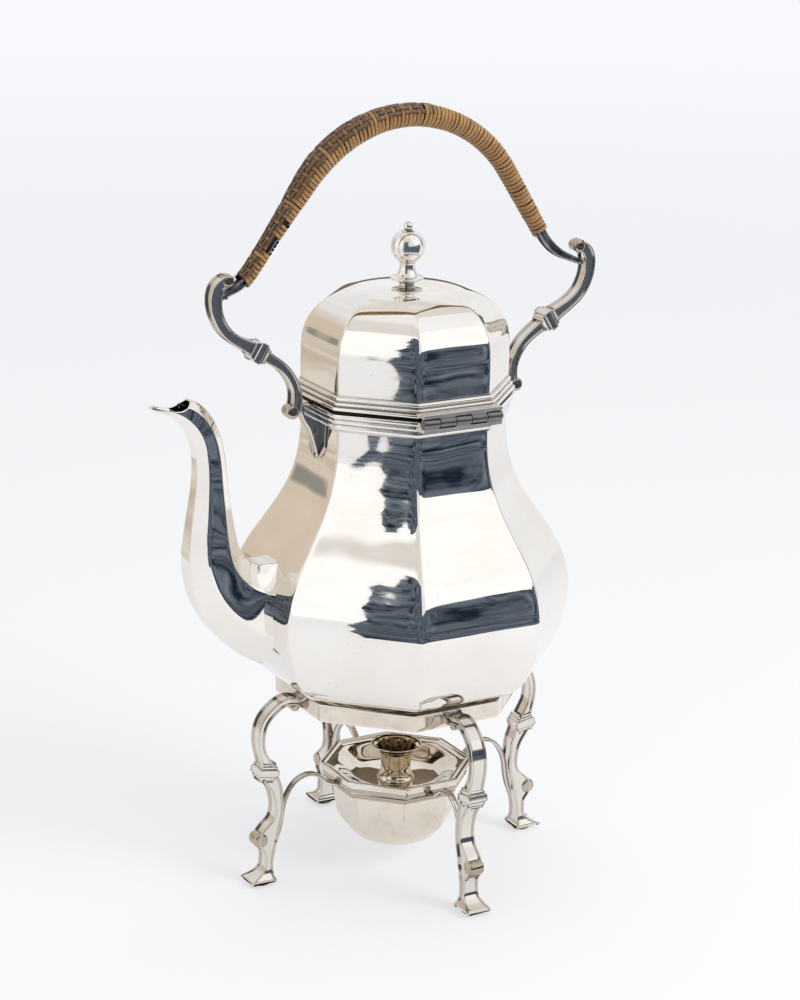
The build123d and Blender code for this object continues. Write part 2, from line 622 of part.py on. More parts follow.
def foot_pad(ankle):
    """Spade foot: it flares from the ankle to a thin pad on a small round button."""
    heel = ankle - 3.2
    middle = (heel + FOOT_TOE) / 2
    pad_top = FOOT_BUTTON + FOOT_THICKNESS
    sections = [Pos(middle, 0, pad_top) * Rectangle(FOOT_TOE - heel, FOOT_WIDTH),
                Pos(middle - 2.4, 0, pad_top + 2.6) * Rectangle(8.6, LEG_WIDTH + 1.0),
                Pos(ankle, 0, pad_top + 7.8) * Rectangle(4.6, LEG_WIDTH)]
    pad = Pos(middle, 0, pad_top - FOOT_THICKNESS / 2) \
        * Box(FOOT_TOE - heel, FOOT_WIDTH, FOOT_THICKNESS)
    button = Pos(middle - 1.0, 0, FOOT_BUTTON / 2) * Cylinder(4.6, FOOT_BUTTON)
    return loft(sections) + pad + button


def lamp_ring():
    low = LAMP_RING_TOP - LAMP_RING_DEPTH
    bore = octagon_prism(BOWL_RADIUS + 2 * CLEARANCE, low - 1, LAMP_RING_TOP + 1)
    lower = LAMP_RING_RADIUS - 1.6
    outline = [(LAMP_RING_RADIUS, LAMP_RING_TOP), (LAMP_RING_RADIUS, low + 4.0),
               (lower + 0.6, low + 3.4), (LAMP_RING_RADIUS - 0.4, low + 2.6),
               (LAMP_RING_RADIUS - 0.6, low + 1.6), (lower, low + 1.0), (lower, low)]
    return eight_sided(outline, False) - bore


def lamp_bracket(leg, ring):
    """S-shaped strap on the +X side from a leg's shaft to the lamp ring."""
    thick = BRACKET_THICKNESS / 2
    near = LAMP_RING_RADIUS * FLAT
    top = LAMP_RING_TOP
    line = [(leg_out(15.7) - 4.3, top - 27.4, thick * 0.5), (leg_out(14.3) - 4.8, top - 21.4, thick),
            (leg_out(11.8) - 3.8, top - 14.9, thick), (leg_out(10.9) - 3.8, top - 8.9, thick),
            (leg_out(11.4) - 6.6, top - 2.6, thick), (56.0, top + 2.9, thick),
            (50.0, top + 5.0, thick), (44.2, top + 3.5, thick),
            (39.6, top - 0.2, thick), (near - 1.0, top - 2.6, thick)]
    return ribbon(line, BRACKET_WIDTH) - leg - ring - octagon_prism(LAMP_RING_RADIUS, 0, top)


# ---------------------------------------------------------------- lamp
def lamp_cover():
    """Dished cover with a stepped eight-sided rim. It closes the bowl and carries the holder."""
    step, floor, seat = LAMP_RIM / 2, DISH_FLOOR, HOLDER_NECK + 2.1
    rim = eight_sided([(LAMP_RADIUS, LAMP_TOP), (LAMP_RADIUS, LAMP_TOP - step),
                       (LAMP_RADIUS - 1.2, LAMP_TOP - step), (LAMP_RADIUS - 1.2, LAMP_RING_TOP)],
                      False)
    rise = LAMP_RING_TOP - floor
    under = turned([(seat, floor - THIN_SHEET), (seat + 6.8, floor - 0.1),
                    (seat + 12.6, floor + 0.31 * rise), (seat + 16.7, floor + 0.74 * rise),
                    (seat + 18.7, LAMP_RING_TOP)])
    under = under & octagon_prism(BOWL_RADIUS - THIN_SHEET / FLAT, floor - 2, LAMP_RING_TOP)
    hollow = turned([(seat, floor), (seat + 6.5, floor + 0.8), (seat + 12.0, floor + 0.45 * rise),
                     (seat + 15.9, floor + 0.86 * rise), (seat + 17.9, LAMP_RING_TOP + 0.5),
                     (DISH_RADIUS - 0.6, LAMP_TOP - 1.8), (DISH_RADIUS + 2.6, LAMP_TOP - 0.6),
                     (DISH_RADIUS + 2.6, LAMP_TOP + 1.0)])
    tube_hole = Pos(0, 0, floor) * Cylinder(HOLDER_NECK - 0.6 + CLEARANCE, FAR)
    return rim + under - hollow - tube_hole


def bowl_outline(radius, top, depth):
    """Round bowl outline of (radius, level) from its flat bottom up to the wall."""
    shape = [(0.32, 0.0), (0.62, 0.085), (0.86, 0.32), (0.965, 0.56), (1.0, 0.84), (1.0, 1.0)]
    return [(out * radius, top - depth + up * depth) for out, up in shape]


def lamp_bowl():
    """Bowl of the lamp: eight flats that die away into a round bottom."""
    top = LAMP_RING_TOP
    outer = turned(bowl_outline(BOWL_RADIUS, top, BOWL_DEPTH), True)
    outer = outer & octagon_prism(BOWL_RADIUS, top - BOWL_DEPTH - 1, top)
    inner_radius = BOWL_RADIUS - THIN_SHEET / FLAT
    inner = turned(bowl_outline(inner_radius, top, BOWL_DEPTH - THIN_SHEET), True)
    inner = inner & octagon_prism(inner_radius, top - BOWL_DEPTH, top)
    return outer - inner


def wick_holder():
    """Spool-shaped burner tube with a trumpet mouth. It lifts out of the cover."""
    floor, top = DISH_FLOOR, HOLDER_TOP
    tube = HOLDER_NECK - 0.6
    outline = [(tube, floor - HOLDER_TAIL), (tube, floor), (HOLDER_NECK + 2.0, floor),
               (HOLDER_NECK + 2.0, floor + 0.8), (HOLDER_NECK + 0.9, floor + 2.0),
               (HOLDER_NECK + 0.1, floor + 5.0), (HOLDER_NECK, floor + 10.5),
               (HOLDER_NECK + 0.6, floor + 13.8), (HOLDER_NECK + 2.4, floor + 16.6),
               (HOLDER_MOUTH, top - 0.7), (HOLDER_MOUTH, top)]
    bore = [(WICK_RADIUS, floor - HOLDER_TAIL), (WICK_RADIUS, floor + 10.5),
            (HOLDER_NECK, floor + 15.0), (HOLDER_MOUTH - 0.8, top)]
    return turned(outline) - turned(bore)


def wick():
    """Bundle of cotton strands, standing a little proud in the holder's mouth."""
    low = DISH_FLOOR - HOLDER_TAIL - 5.0
    outline = [(WICK_RADIUS - 0.5, low), (WICK_RADIUS, low + 1.0), (WICK_RADIUS, DISH_FLOOR + 10.5),
               (WICK_RADIUS + 0.8, DISH_FLOOR + 13.6), (WICK_RADIUS, HOLDER_TOP - 2.2),
               (WICK_RADIUS - 2.4, HOLDER_TOP - 1.2)]
    return turned(outline)


# ---------------------------------------------------------------- assembly
def at_quarter(shape, k):
    """Shape made on the +X side, turned to the k-th quarter."""
    return Rot(0, 0, 90 * k) * shape


def main():
    os.makedirs("parts", exist_ok=True)
    quarters = {"rear": 0, "far_side": 1, "spout_side": 2, "hinge_side": 3}

    write("stand_ring", stand_ring())
    leg = leg_solid()
    ring = lamp_ring()
    bracket = lamp_bracket(leg, ring)
    write("lamp_ring", ring)
    for name, k in quarters.items():
        write("leg_" + name, at_quarter(leg, k))
        write("lamp_bracket_" + name, at_quarter(bracket, k))

    outer = body_outer()
    write("kettle_body", kettle_body(outer))
    write("kettle_base", kettle_base())
    collar = collar_blank()
    write("neck_collar", neck_collar())
    write("spout", spout(outer))
    write("hinge_leaf_body", hinge_leaf(False, collar + outer))
    write("hinge_pin", hinge_pin())

    bar = handle_bar()
    mount = neck_mount(outer, collar)
    arm = arm_solid() - mount
    write("handle_bar", bar)
    write("handle_cane", handle_cane(bar))
    write("handle_arm_rear", arm - bar - rivets())
    write("handle_arm_spout_side", at_quarter(arm, 2) - bar - rivets())
    write("neck_mount_rear", mount)
    write("neck_mount_spout_side", at_quarter(mount, 2))
    write("bar_rivets", rivets())

    dome = dome_solid(0.0, LID_BOTTOM)
    write("lid_dome", lid_dome(dome))
    write("lid_rim", lid_rim())
    write("lid_flange", lid_flange())
    write("hinge_leaf_lid", hinge_leaf(True, lid_rim_blank() + dome))
    write("finial", finial(dome))
    write("finial_rod", finial_rod())
    write("finial_nut", finial_nut())

    write("lamp_cover", lamp_cover())
    write("lamp_bowl", lamp_bowl())
    write("wick_holder", wick_holder())
    write("wick", wick())


main()
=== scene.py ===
# %% [markdown]
# # A spirit kettle on its stand
#
# The object is a polished silver kettle with eight flat-sided panels, a hinged lid, a swan-neck
# spout and a bail handle bound in cane. It stands on an open frame with four scrolled legs, and a
# small spirit lamp sits in a ring under it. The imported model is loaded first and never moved:
# every piece below is built around it, in the same frame, and rides on one of its bodies.

# %% Load the frame
import math

import bmesh
import bpy
import numpy as np
from mathutils import Matrix, Vector


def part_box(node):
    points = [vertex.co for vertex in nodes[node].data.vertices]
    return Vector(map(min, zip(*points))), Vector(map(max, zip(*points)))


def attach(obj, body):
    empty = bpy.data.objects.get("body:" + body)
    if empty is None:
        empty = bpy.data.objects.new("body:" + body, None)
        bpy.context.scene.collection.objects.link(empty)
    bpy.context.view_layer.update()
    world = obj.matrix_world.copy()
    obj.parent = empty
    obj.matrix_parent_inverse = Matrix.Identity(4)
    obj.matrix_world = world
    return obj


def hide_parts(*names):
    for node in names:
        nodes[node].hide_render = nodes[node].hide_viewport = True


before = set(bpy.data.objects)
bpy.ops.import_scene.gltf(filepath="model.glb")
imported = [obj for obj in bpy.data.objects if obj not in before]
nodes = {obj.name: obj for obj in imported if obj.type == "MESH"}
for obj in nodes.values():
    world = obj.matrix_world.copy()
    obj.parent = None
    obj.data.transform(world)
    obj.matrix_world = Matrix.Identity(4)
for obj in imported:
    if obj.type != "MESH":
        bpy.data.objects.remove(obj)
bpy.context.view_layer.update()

# %% [markdown]
# ## Units and repeatable chance
#
# The frame is in metres, but a silversmith thinks in millimetres. So every outline below is
# written in millimetres and turned into metres in one place, when a mesh is made. Small
# irregularities, such as the tint of each strand of cane, come from one seeded generator, so that
# the script gives the same kettle each time.

# %% Units and seed
MM = 0.001
SIDES = 8
TURN = 2 * math.pi / SIDES
FLAT = math.cos(TURN / 2)
chance = np.random.default_rng(1907)


def size(node_name):
    """Lowest and highest corner of a CAD node in millimetres."""
    low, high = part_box(node_name)
    return np.array(low) / MM, np.array(high) / MM


print("flat distance over corner radius:", round(FLAT, 4))

# %% [markdown]
# ## The camera
#
# The kettle is seen from a little above, 30 degrees to the spout side of the hinge. A long lens
# from 1.3 m away keeps the eight panels nearly parallel, as in a catalogue picture. The camera
# could be aimed by a constraint, but building its axes by hand also gives the slight roll.

# %% Camera
LENS = 100.17
CAMERA_DISTANCE = 1.33833
CAMERA_AZIMUTH = math.radians(-30.12)
CAMERA_ELEVATION = math.radians(17.046)
CAMERA_ROLL = math.radians(1.304)
AIM = Vector((0.0, 0.0, 0.18522))
SIDE_STEP = 0.00093

back = Vector((math.sin(CAMERA_AZIMUTH) * math.cos(CAMERA_ELEVATION),
               -math.cos(CAMERA_AZIMUTH) * math.cos(CAMERA_ELEVATION), math.sin(CAMERA_ELEVATION)))
level_right = Vector((0, 0, 1)).cross(back).normalized()
upright = back.cross(level_right)
right = level_right * math.cos(CAMERA_ROLL) + upright * math.sin(CAMERA_ROLL)
above = upright * math.cos(CAMERA_ROLL) - level_right * math.sin(CAMERA_ROLL)

camera = bpy.data.objects.new("camera", bpy.data.cameras.new("camera"))
bpy.context.scene.collection.objects.link(camera)
camera.matrix_world = Matrix.Translation(AIM + back * CAMERA_DISTANCE - right * SIDE_STEP) \
    @ Matrix((right, above, back)).transposed().to_4x4()
camera.data.lens = LENS
camera.data.sensor_width = 36.0
camera.data.clip_start = 0.05
camera.data.clip_end = 50.0
bpy.context.scene.camera = camera
print("camera at", [round(v, 3) for v in camera.location])

# %% [markdown]
# ## Node helpers
#
# Every finish is a node tree. These helpers make a node, set its plain values and link its inputs
# in one line, so that each finish below reads as a short recipe.

# %% Node helpers
def new_finish(name):
    """Empty material with its tree."""
    finish = bpy.data.materials.new(name)
    finish.use_nodes = True
    finish.node_tree.nodes.clear()
    return finish, finish.node_tree


def showing(finish, shader):
    """The finish, once the shader is linked to its surface."""
    out = finish.node_tree.nodes.new("ShaderNodeOutputMaterial")
    finish.node_tree.links.new(shader.outputs[0], out.inputs["Surface"])
    return finish


def node(tree, kind, values=None, links=None, **settings):
    """Adds a node. values are its plain inputs, links the sockets that feed the others."""
    made = tree.nodes.new("ShaderNode" + kind)
    for key, value in settings.items():
        setattr(made, key, value)
    for key, value in (values or {}).items():
        made.inputs[key].default_value = value
    for key, socket in (links or {}).items():
        tree.links.new(socket, made.inputs[key])
    return made


def stored(tree, name, output="Fac"):
    """A value that the mesh code stores on the points of a piece."""
    return node(tree, "Attribute", attribute_name=name).outputs[output]


def maths(tree, operation, first, second):
    """One sum on two values."""
    return node(tree, "Math", operation=operation, links={0: first, 1: second}).outputs[0]


def noise(tree, place, scale, detail=3.0, rough=0.5):
    """Noise value between 0 and 1, its scale in repeats per metre."""
    made = node(tree, "TexNoise", {"Scale": scale, "Detail": detail, "Roughness": rough},
                {"Vector": place})
    return made.outputs["Fac"]


def ramp(tree, factor, low, high, start=0.0, end=1.0):
    """Rescales a value between low and high to between start and end."""
    made = node(tree, "MapRange", {"From Min": low, "From Max": high, "To Min": start,
                                   "To Max": end}, {"Value": factor})
    return made.outputs["Result"]


def mixed(tree, factor, first, second):
    """Colour between first and second. Each is a colour or a socket that gives one."""
    made = node(tree, "Mix", data_type="RGBA")
    tree.links.new(factor, made.inputs[0])
    for index, colour in ((6, first), (7, second)):
        if isinstance(colour, tuple):
            made.inputs[index].default_value = colour
        else:
            tree.links.new(colour, made.inputs[index])
    return made.outputs[2]


def laid_over(tree, colour, tone, factor, low, high, strength):
    """The colour with a tone over it, up to 'strength' as the factor goes from low to high."""
    return mixed(tree, ramp(tree, factor, low, high, 0.0, strength), colour, tone)


def bump(tree, height, strength, distance, under=None):
    """Normal of a surface that a height makes uneven, over what another bump did."""
    links = {"Height": height, "Normal": under} if under else {"Height": height}
    return node(tree, "Bump", {"Strength": strength, "Distance": distance}, links).outputs["Normal"]


def own_place(tree, shift, stretch=(1.0, 1.0, 1.0)):
    """Coordinates fixed to the piece, shifted so that no two finishes repeat each other."""
    place = node(tree, "TexCoord").outputs["Object"]
    return node(tree, "Mapping", {"Location": (shift, shift / 2, -shift), "Scale": stretch},
                {"Vector": place}).outputs["Vector"]


print("node helpers ready")

# %% [markdown]
# ## Polished silver
#
# Old polished silver is a mirror that is not quite even: the sheet is a little wavy from the
# hammer, fine wiping scratches run over it, and a warm tarnish sits in patches and in small specks.
# The corners that a cloth doesn't reach get painted shade mixed with their tarnish, and the
# grooves painted shade mixed with grime. One flat colour would look like plastic, and a picture of
# tarnish would not find the corners. So each mark has a layer of its own: two bumps for waves and
# scratches, and colours for patches, specks, painted shade and tarnish in corners, blots, painted
# shade and grime in grooves, the rubbed barrels of the hinge and the bright edges of cast pieces.

# %% Silver
SILVER = (0.915, 0.893, 0.860, 1.0)
TARNISH = (0.77, 0.69, 0.585, 1.0)
SPECK = (0.30, 0.235, 0.17, 1.0)
# Tarnish with painted shade, laid into corners where the metal's own walls hide its surroundings.
CORNER_TARNISH_AND_SHADE = (0.10, 0.072, 0.048, 1.0)
BLOT = (0.46, 0.385, 0.30, 1.0)
# Near black: painted shade with grime, in grooves and in the lid's gap.
SHADE_AND_GRIME_COLOUR = (0.030, 0.021, 0.014, 1.0)
BRIGHT_EDGE = (0.96, 0.94, 0.905, 1.0)
RUBBED_GREY = (0.15, 0.145, 0.14, 1.0)

# Noises as repeats per metre, detail and roughness.
PATCH_NOISE = (28.0, 5.0, 0.6)
SPECK_NOISE = (620.0, 2.0)
SPECK_AREA = (60.0, 2.0)
BLOT_NOISE = (75.0, 6.0, 0.62)
HAMMER_NOISE = (30.0, 1.0)
WIPING_NOISE = (150.0, 6.0, 0.7)
HAMMER_DEPTH = 0.0011
WIPING_DEPTH = 0.00001
CORNER_REACH = 0.0026
EDGE_ROUGHNESS = 0.20

PIN_MIDDLE = np.mean(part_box("hinge_pin"), axis=0)
BARREL_RADIUS = 0.0024


def with_specks(tree, colour, place, specks):
    """Small dark specks, which gather in some areas and leave others clean."""
    grain = ramp(tree, noise(tree, place, *SPECK_NOISE), 0.715, 0.755)
    area = ramp(tree, noise(tree, place, *SPECK_AREA), 0.46, 0.62)
    return laid_over(tree, colour, SPECK, maths(tree, "MULTIPLY", grain, area), 0.0, 1.0, specks)


def with_corner_tarnish_and_shade(tree, colour, corners):
    """Painted shade and tarnish where the metal's own walls stand close round a point."""
    facing = node(tree, "NewGeometry").outputs["True Normal"]
    shade = node(tree, "AmbientOcclusion", {"Distance": CORNER_REACH}, {"Normal": facing}, samples=6)
    return laid_over(tree, colour, CORNER_TARNISH_AND_SHADE, shade.outputs["AO"], 0.80, 0.36, corners)


def with_rubbed_barrel(tree, colour):
    """Grey, rubbed metal within the hinge barrel's radius of its pin."""
    place = node(tree, "TexCoord").outputs["Object"]
    aside = node(tree, "VectorMath", {1: (0, PIN_MIDDLE[1], PIN_MIDDLE[2])}, {0: place},
                 operation="SUBTRACT").outputs[0]
    aside = node(tree, "VectorMath", {1: (0, 1, 1)}, {0: aside}, operation="MULTIPLY").outputs[0]
    reach = node(tree, "VectorMath", operation="LENGTH", links={0: aside}).outputs["Value"]
    return laid_over(tree, colour, RUBBED_GREY, reach, BARREL_RADIUS + 0.0002, BARREL_RADIUS, 0.9)


def silver(name, shift, *, patches, specks, ripple, dullness, wear, corners=0.0, blots=0.0,
           metal=SILVER, stain=TARNISH, edges=0.0, barrel=False):
    """Silver with waves as deep as 'ripple', scratches as rough as 'wear', and marks by name."""
    finish, tree = new_finish(name)
    place = own_place(tree, shift)
    cloud = noise(tree, place, *PATCH_NOISE)
    colour = laid_over(tree, metal, stain, cloud, 0.36, 0.76, patches)
    colour = with_specks(tree, colour, place, specks)
    if corners:
        # Painted shade and tarnish in corners.
        colour = with_corner_tarnish_and_shade(tree, colour, corners)
    if blots:
        spots = noise(tree, own_place(tree, shift + 0.3), *BLOT_NOISE)
        colour = laid_over(tree, colour, BLOT, spots, 0.54, 0.70, blots)
    if barrel:
        colour = with_rubbed_barrel(tree, colour)
    # Painted shade with grime, darkest in grooves and the lid's gap, from the value the mesh code stores.
    colour = mixed(tree, stored(tree, "shade_and_grime"), colour, SHADE_AND_GRIME_COLOUR)
    hammered = bump(tree, noise(tree, place, *HAMMER_NOISE), ripple, HAMMER_DEPTH)
    wiping = noise(tree, own_place(tree, shift, (1.0, 1.0, 8.0)), *WIPING_NOISE)
    scratched = bump(tree, wiping, 0.03, WIPING_DEPTH, hammered)
    dull = ramp(tree, cloud, 0.3, 0.8, dullness * 0.8, dullness * 1.5)
    rough = maths(tree, "ADD", dull, ramp(tree, wiping, 0.46, 0.80, 0.0, wear))
    if edges:
        sharp = ramp(tree, stored(tree, "edge"), 0.3, 1.0, 0.0, edges)
        colour = mixed(tree, sharp, colour, BRIGHT_EDGE)
        rough = maths(tree, "MAXIMUM", ramp(tree, sharp, 0.0, 1.0, 0.0, EDGE_ROUGHNESS), rough)
    shader = node(tree, "BsdfPrincipled", {"Metallic": 1.0},
                  {"Base Color": colour, "Roughness": rough, "Normal": scratched})
    return showing(finish, shader)


print("silver layers ready")

# %% [markdown]
# ## Ten silvers
#
# No two parts of the kettle are polished alike. Body and lid are the brightest, the mouldings have
# painted shade with tarnish and grime in their corners and grooves, the cast legs and arms are the
# warmest and most blotted, and the lamp has seen heat.
# One silver for all would be simpler, but these differences tell the parts apart. So one recipe
# is mixed ten times, with the strength of each mark given by name.

# %% Silver finishes
AGED = (0.80, 0.735, 0.645, 1.0)
AGED_STAIN = (0.60, 0.505, 0.39, 1.0)
CAST = (0.57, 0.505, 0.42, 1.0)
CAST_STAIN = (0.36, 0.28, 0.195, 1.0)
HEATED = (0.86, 0.82, 0.765, 1.0)
HEATED_STAIN = (0.62, 0.53, 0.42, 1.0)
GILDED = (0.82, 0.735, 0.60, 1.0)
GILDED_STAIN = (0.50, 0.40, 0.28, 1.0)

body_silver = silver("body_silver", 0.11, patches=0.42, specks=0.60, ripple=0.34, dullness=0.018, wear=0.07)
lid_silver = silver("lid_silver", 0.23, patches=0.40, specks=0.35, ripple=0.30, dullness=0.018, wear=0.07)
trim_silver = silver("trim_silver", 0.37, patches=0.45, specks=0.3, ripple=0.12, dullness=0.06,
                     wear=0.10, corners=0.55)
knob_silver = silver("knob_silver", 0.37, patches=0.45, specks=0.3, ripple=0.30, dullness=0.15,
                     wear=0.10, corners=0.55)
hinge_silver = silver("hinge_silver", 0.79, patches=0.60, specks=0.4, ripple=0.08, dullness=0.30,
                      wear=0.14, corners=0.9, blots=0.25, barrel=True)
cast_silver = silver("cast_silver", 0.51, patches=0.90, specks=0.7, ripple=0.30, dullness=0.035,
                     wear=0.06, corners=1.0, blots=0.75, metal=CAST, stain=CAST_STAIN, edges=0.6)
hoop_silver = silver("hoop_silver", 0.57, patches=0.90, specks=0.7, ripple=0.30, dullness=0.06,
                     wear=0.08, corners=0.35, blots=0.45, metal=AGED, stain=AGED_STAIN, edges=0.5)
lamp_silver = silver("lamp_silver", 0.67, patches=0.80, specks=0.5, ripple=0.28, dullness=0.05,
                     wear=0.10, corners=0.9, blots=0.25, metal=AGED)
spool_silver = silver("spool_silver", 0.47, patches=1.00, specks=0.5, ripple=0.10, dullness=0.025,
                      wear=0.05, corners=0.9, blots=0.40, metal=GILDED, stain=GILDED_STAIN)
dish_silver = silver("dish_silver", 0.71, patches=1.00, specks=0.5, ripple=0.28, dullness=0.025,
                     wear=0.06, corners=0.7, blots=0.35, metal=HEATED, stain=HEATED_STAIN, edges=0.5)
print("silvers:", [m.name for m in bpy.data.materials if m.name.endswith("silver")])

# %% [markdown]
# ## Oxidised bar, cane, core and wick
#
# The bar inside the handle is silver that nobody polishes, so it is dark and rougher. The cane
# takes its tint from a value stored on each strand by the mesh code, because every strand is a
# different age and colour. A picture of cane could do that too, but a stored value follows each
# strand exactly, whatever its shape. The strands' own fibres are a fine stretched noise. The
# wick's cotton works alike: its stored value says how dark it is, from singed tips and a darker
# side to painted shade in its grooves and at its foot.

# %% Bar, cane, core and wick
def stained_metal(name, light, dark, scale, dullness):
    """Unpolished metal, cloudy between two tones."""
    finish, tree = new_finish(name)
    cloud = ramp(tree, noise(tree, own_place(tree, 0.83), scale, 6.0, 0.65), 0.35, 0.68)
    shader = node(tree, "BsdfPrincipled", {"Metallic": 1.0},
                  {"Base Color": mixed(tree, cloud, dark, light),
                   "Roughness": ramp(tree, cloud, 0.0, 1.0, dullness, dullness * 1.7)})
    return showing(finish, shader)


FRESH_CANE = (0.40, 0.215, 0.070, 1.0)
OLD_CANE = (0.17, 0.078, 0.026, 1.0)
# Near black: a hand's dirt, and painted shade at strand edges and where strands pass under others.
HAND_DIRT_AND_SHADE = (0.024, 0.013, 0.007, 1.0)
FIBRE = (0.13, 0.065, 0.025, 1.0)
PALE_BLOTCH = (0.58, 0.37, 0.15, 1.0)


def cane(name):
    """Varnished cane, between fresh and old by its stored tint, darkened by its stored dirt and painted
    shade, with dark fibres and pale blotches.
    """
    finish, tree = new_finish(name)
    fibres = node(tree, "TexNoise", {"Scale": 1.0, "Detail": 4.0},
                  {"Vector": stored(tree, "fibre", "Vector")}).outputs["Fac"]
    blotch = noise(tree, own_place(tree, 0.95), 210.0, 4.0)
    colour = mixed(tree, stored(tree, "tint"), FRESH_CANE, OLD_CANE)
    # Stored dirt and painted shade: a hand's dirt, and shade painted at strand edges and under crossings.
    colour = mixed(tree, stored(tree, "dirt_and_shade"), colour, HAND_DIRT_AND_SHADE)
    colour = laid_over(tree, colour, FIBRE, fibres, 0.48, 0.75, 0.40)
    colour = laid_over(tree, colour, PALE_BLOTCH, blotch, 0.56, 0.72, 0.35)
    shader = node(tree, "BsdfPrincipled", {"Specular IOR Level": 0.6},
                  {"Base Color": colour, "Roughness": ramp(tree, fibres, 0.3, 0.7, 0.22, 0.44),
                   "Normal": bump(tree, fibres, 0.35, 0.00018)})
    return showing(finish, shader)


TAN_COTTON = (0.50, 0.265, 0.095, 1.0)
# Near black: singed cotton, and painted shade in the wick's grooves and at its foot.
BURNT_AND_SHADED_COTTON = (0.012, 0.006, 0.003, 1.0)
COTTON_FLUFF = (0.15, 0.075, 0.028, 1.0)


def cotton(name):
    """Wick cotton, from tan to near black by its stored tint, which holds singed tips, a darker side and
    painted shade.
    """
    finish, tree = new_finish(name)
    fluff = noise(tree, own_place(tree, 0.4), 900.0, 4.0)
    colour = mixed(tree, stored(tree, "tint"), TAN_COTTON, BURNT_AND_SHADED_COTTON)
    colour = laid_over(tree, colour, COTTON_FLUFF, fluff, 0.4, 0.7, 0.30)
    shader = node(tree, "BsdfPrincipled", {"Roughness": 0.9, "Sheen Weight": 0.2},
                  {"Base Color": colour, "Normal": bump(tree, fluff, 0.5, 0.0003)})
    return showing(finish, shader)


bar_metal = stained_metal("bar_metal", (0.50, 0.49, 0.50, 1.0), (0.12, 0.12, 0.14, 1.0), 90.0, 0.24)
soot = stained_metal("soot", (0.018, 0.012, 0.008, 1.0), (0.004, 0.003, 0.002, 1.0), 150.0, 0.60)
fire_stained = stained_metal("fire_stained", (0.84, 0.78, 0.68, 1.0), (0.56, 0.43, 0.28, 1.0),
                             60.0, 0.12)
# The core's near-black is painted shade, for the gaps between the strands of cane.
core_painted_shade = stained_metal("core_painted_shade", (0.10, 0.08, 0.07, 1.0), (0.02, 0.018, 0.016, 1.0), 160.0, 0.5)
cane_finish = cane("cane_finish")
wick_cotton = cotton("wick_cotton")
print("materials:", len(bpy.data.materials))

# %% [markdown]
# ## Smooth lines from few points
#
# An outline is a handful of points that a maker would mark on the metal. A cubic spline through
# them gives the smooth curve, as a batten bent round pins would. Corner cutting, where each corner
# is replaced by two points beside it, rounds a stepped moulding without moving it.

# %% Lines
def through(points, count):
    """Smooth line of 'count' rows through the points, spaced evenly along its length."""
    knots = np.asarray(points, float)
    gaps = np.linalg.norm(np.diff(knots[:, :2], axis=0), axis=1)
    at = np.concatenate([[0.0], np.cumsum(gaps)])
    system = np.zeros((len(at), len(at)))
    wanted = np.zeros_like(knots)
    system[0, 0] = system[-1, -1] = 1.0
    for i in range(1, len(at) - 1):
        system[i, i - 1:i + 2] = gaps[i - 1], 2 * (gaps[i - 1] + gaps[i]), gaps[i]
        wanted[i] = 6 * ((knots[i + 1] - knots[i]) / gaps[i] - (knots[i] - knots[i - 1]) / gaps[i - 1])
    bend = np.linalg.solve(system, wanted)
    rows = np.linspace(0.0, at[-1], count)
    i = np.clip(np.searchsorted(at, rows, "right") - 1, 0, len(gaps) - 1)
    h, a, b = gaps[i][:, None], (at[i + 1] - rows)[:, None], (rows - at[i])[:, None]
    return (bend[i] * a ** 3 + bend[i + 1] * b ** 3) / (6 * h) \
        + (knots[i] / h - bend[i] * h / 6) * a + (knots[i + 1] / h - bend[i + 1] * h / 6) * b


def rounded_off(points, times=2):
    """Cuts each corner of a line in turn, which rounds it while its straights stay put."""
    line = np.asarray(points, float)
    for _ in range(times):
        start, end = line[:-1], line[1:]
        cut = np.stack([0.75 * start + 0.25 * end, 0.25 * start + 0.75 * end], axis=1)
        line = np.concatenate([line[:1], cut.reshape(-1, line.shape[1]), line[-1:]])
    return line


def between(shares, inner, outer, low, high):
    """Outline from shares (out, up) of the way between two radii and between two levels."""
    return [(inner + out * (outer - inner), low + up * (high - low)) for out, up in shares]


def placed(points, x, z, *more):
    """The points moved by (x, z), with the same further values added to each."""
    return [(x + point[0], z + point[1], *point[2:], *more) for point in points]


print("line helpers ready")

# %% [markdown]
# ## From rows of points to a mesh
#
# Almost every piece of the kettle is a row of cross-sections joined by faces: panels, mouldings,
# straps and turned knobs. Lofts of curve objects could do it, but faces written by hand keep the
# count of points known, so that values can be stored on them. A shape is its points and faces.

# %% Rows
def skin(rows, capped=(False, False), looped=False):
    """Points and faces of a skin over equal rings of points. looped joins the last ring to the first."""
    rings = np.asarray(rows, float)
    count, around = rings.shape[:2]
    faces = []
    for i in range(count if looped else count - 1):
        a, b = i * around, (i + 1) % count * around
        faces += [(a + j, a + (j + 1) % around, b + (j + 1) % around, b + j) for j in range(around)]
    if capped[0]:
        faces.append(tuple(range(around - 1, -1, -1)))
    if capped[1]:
        faces.append(tuple(range((count - 1) * around, count * around)))
    return rings.reshape(-1, 3), faces


def joined(*shapes):
    """Several shapes as one."""
    points, faces, start = [], [], 0
    for shape_points, shape_faces in shapes:
        points.append(shape_points)
        faces += [tuple(start + v for v in face) for face in shape_faces]
        start += len(shape_points)
    return np.concatenate(points), faces


def turned_about(shape, angle):
    """The shape turned about the upright axis."""
    c, s = math.cos(angle), math.sin(angle)
    return shape[0] @ np.array([[c, s, 0], [-s, c, 0], [0, 0, 1]]), shape[1]


print("row helpers ready")

# %% [markdown]
# ## From a mesh to a piece
#
# Each shape becomes a piece that rides on its body and stands for its CAD node, so that it moves
# with the joints. Cast pieces also store where their surface bends outward, because a cloth rubs
# those edges bright, and a small bevel rounds them. An edge drawn in the finish alone would not
# catch the light as it turns.

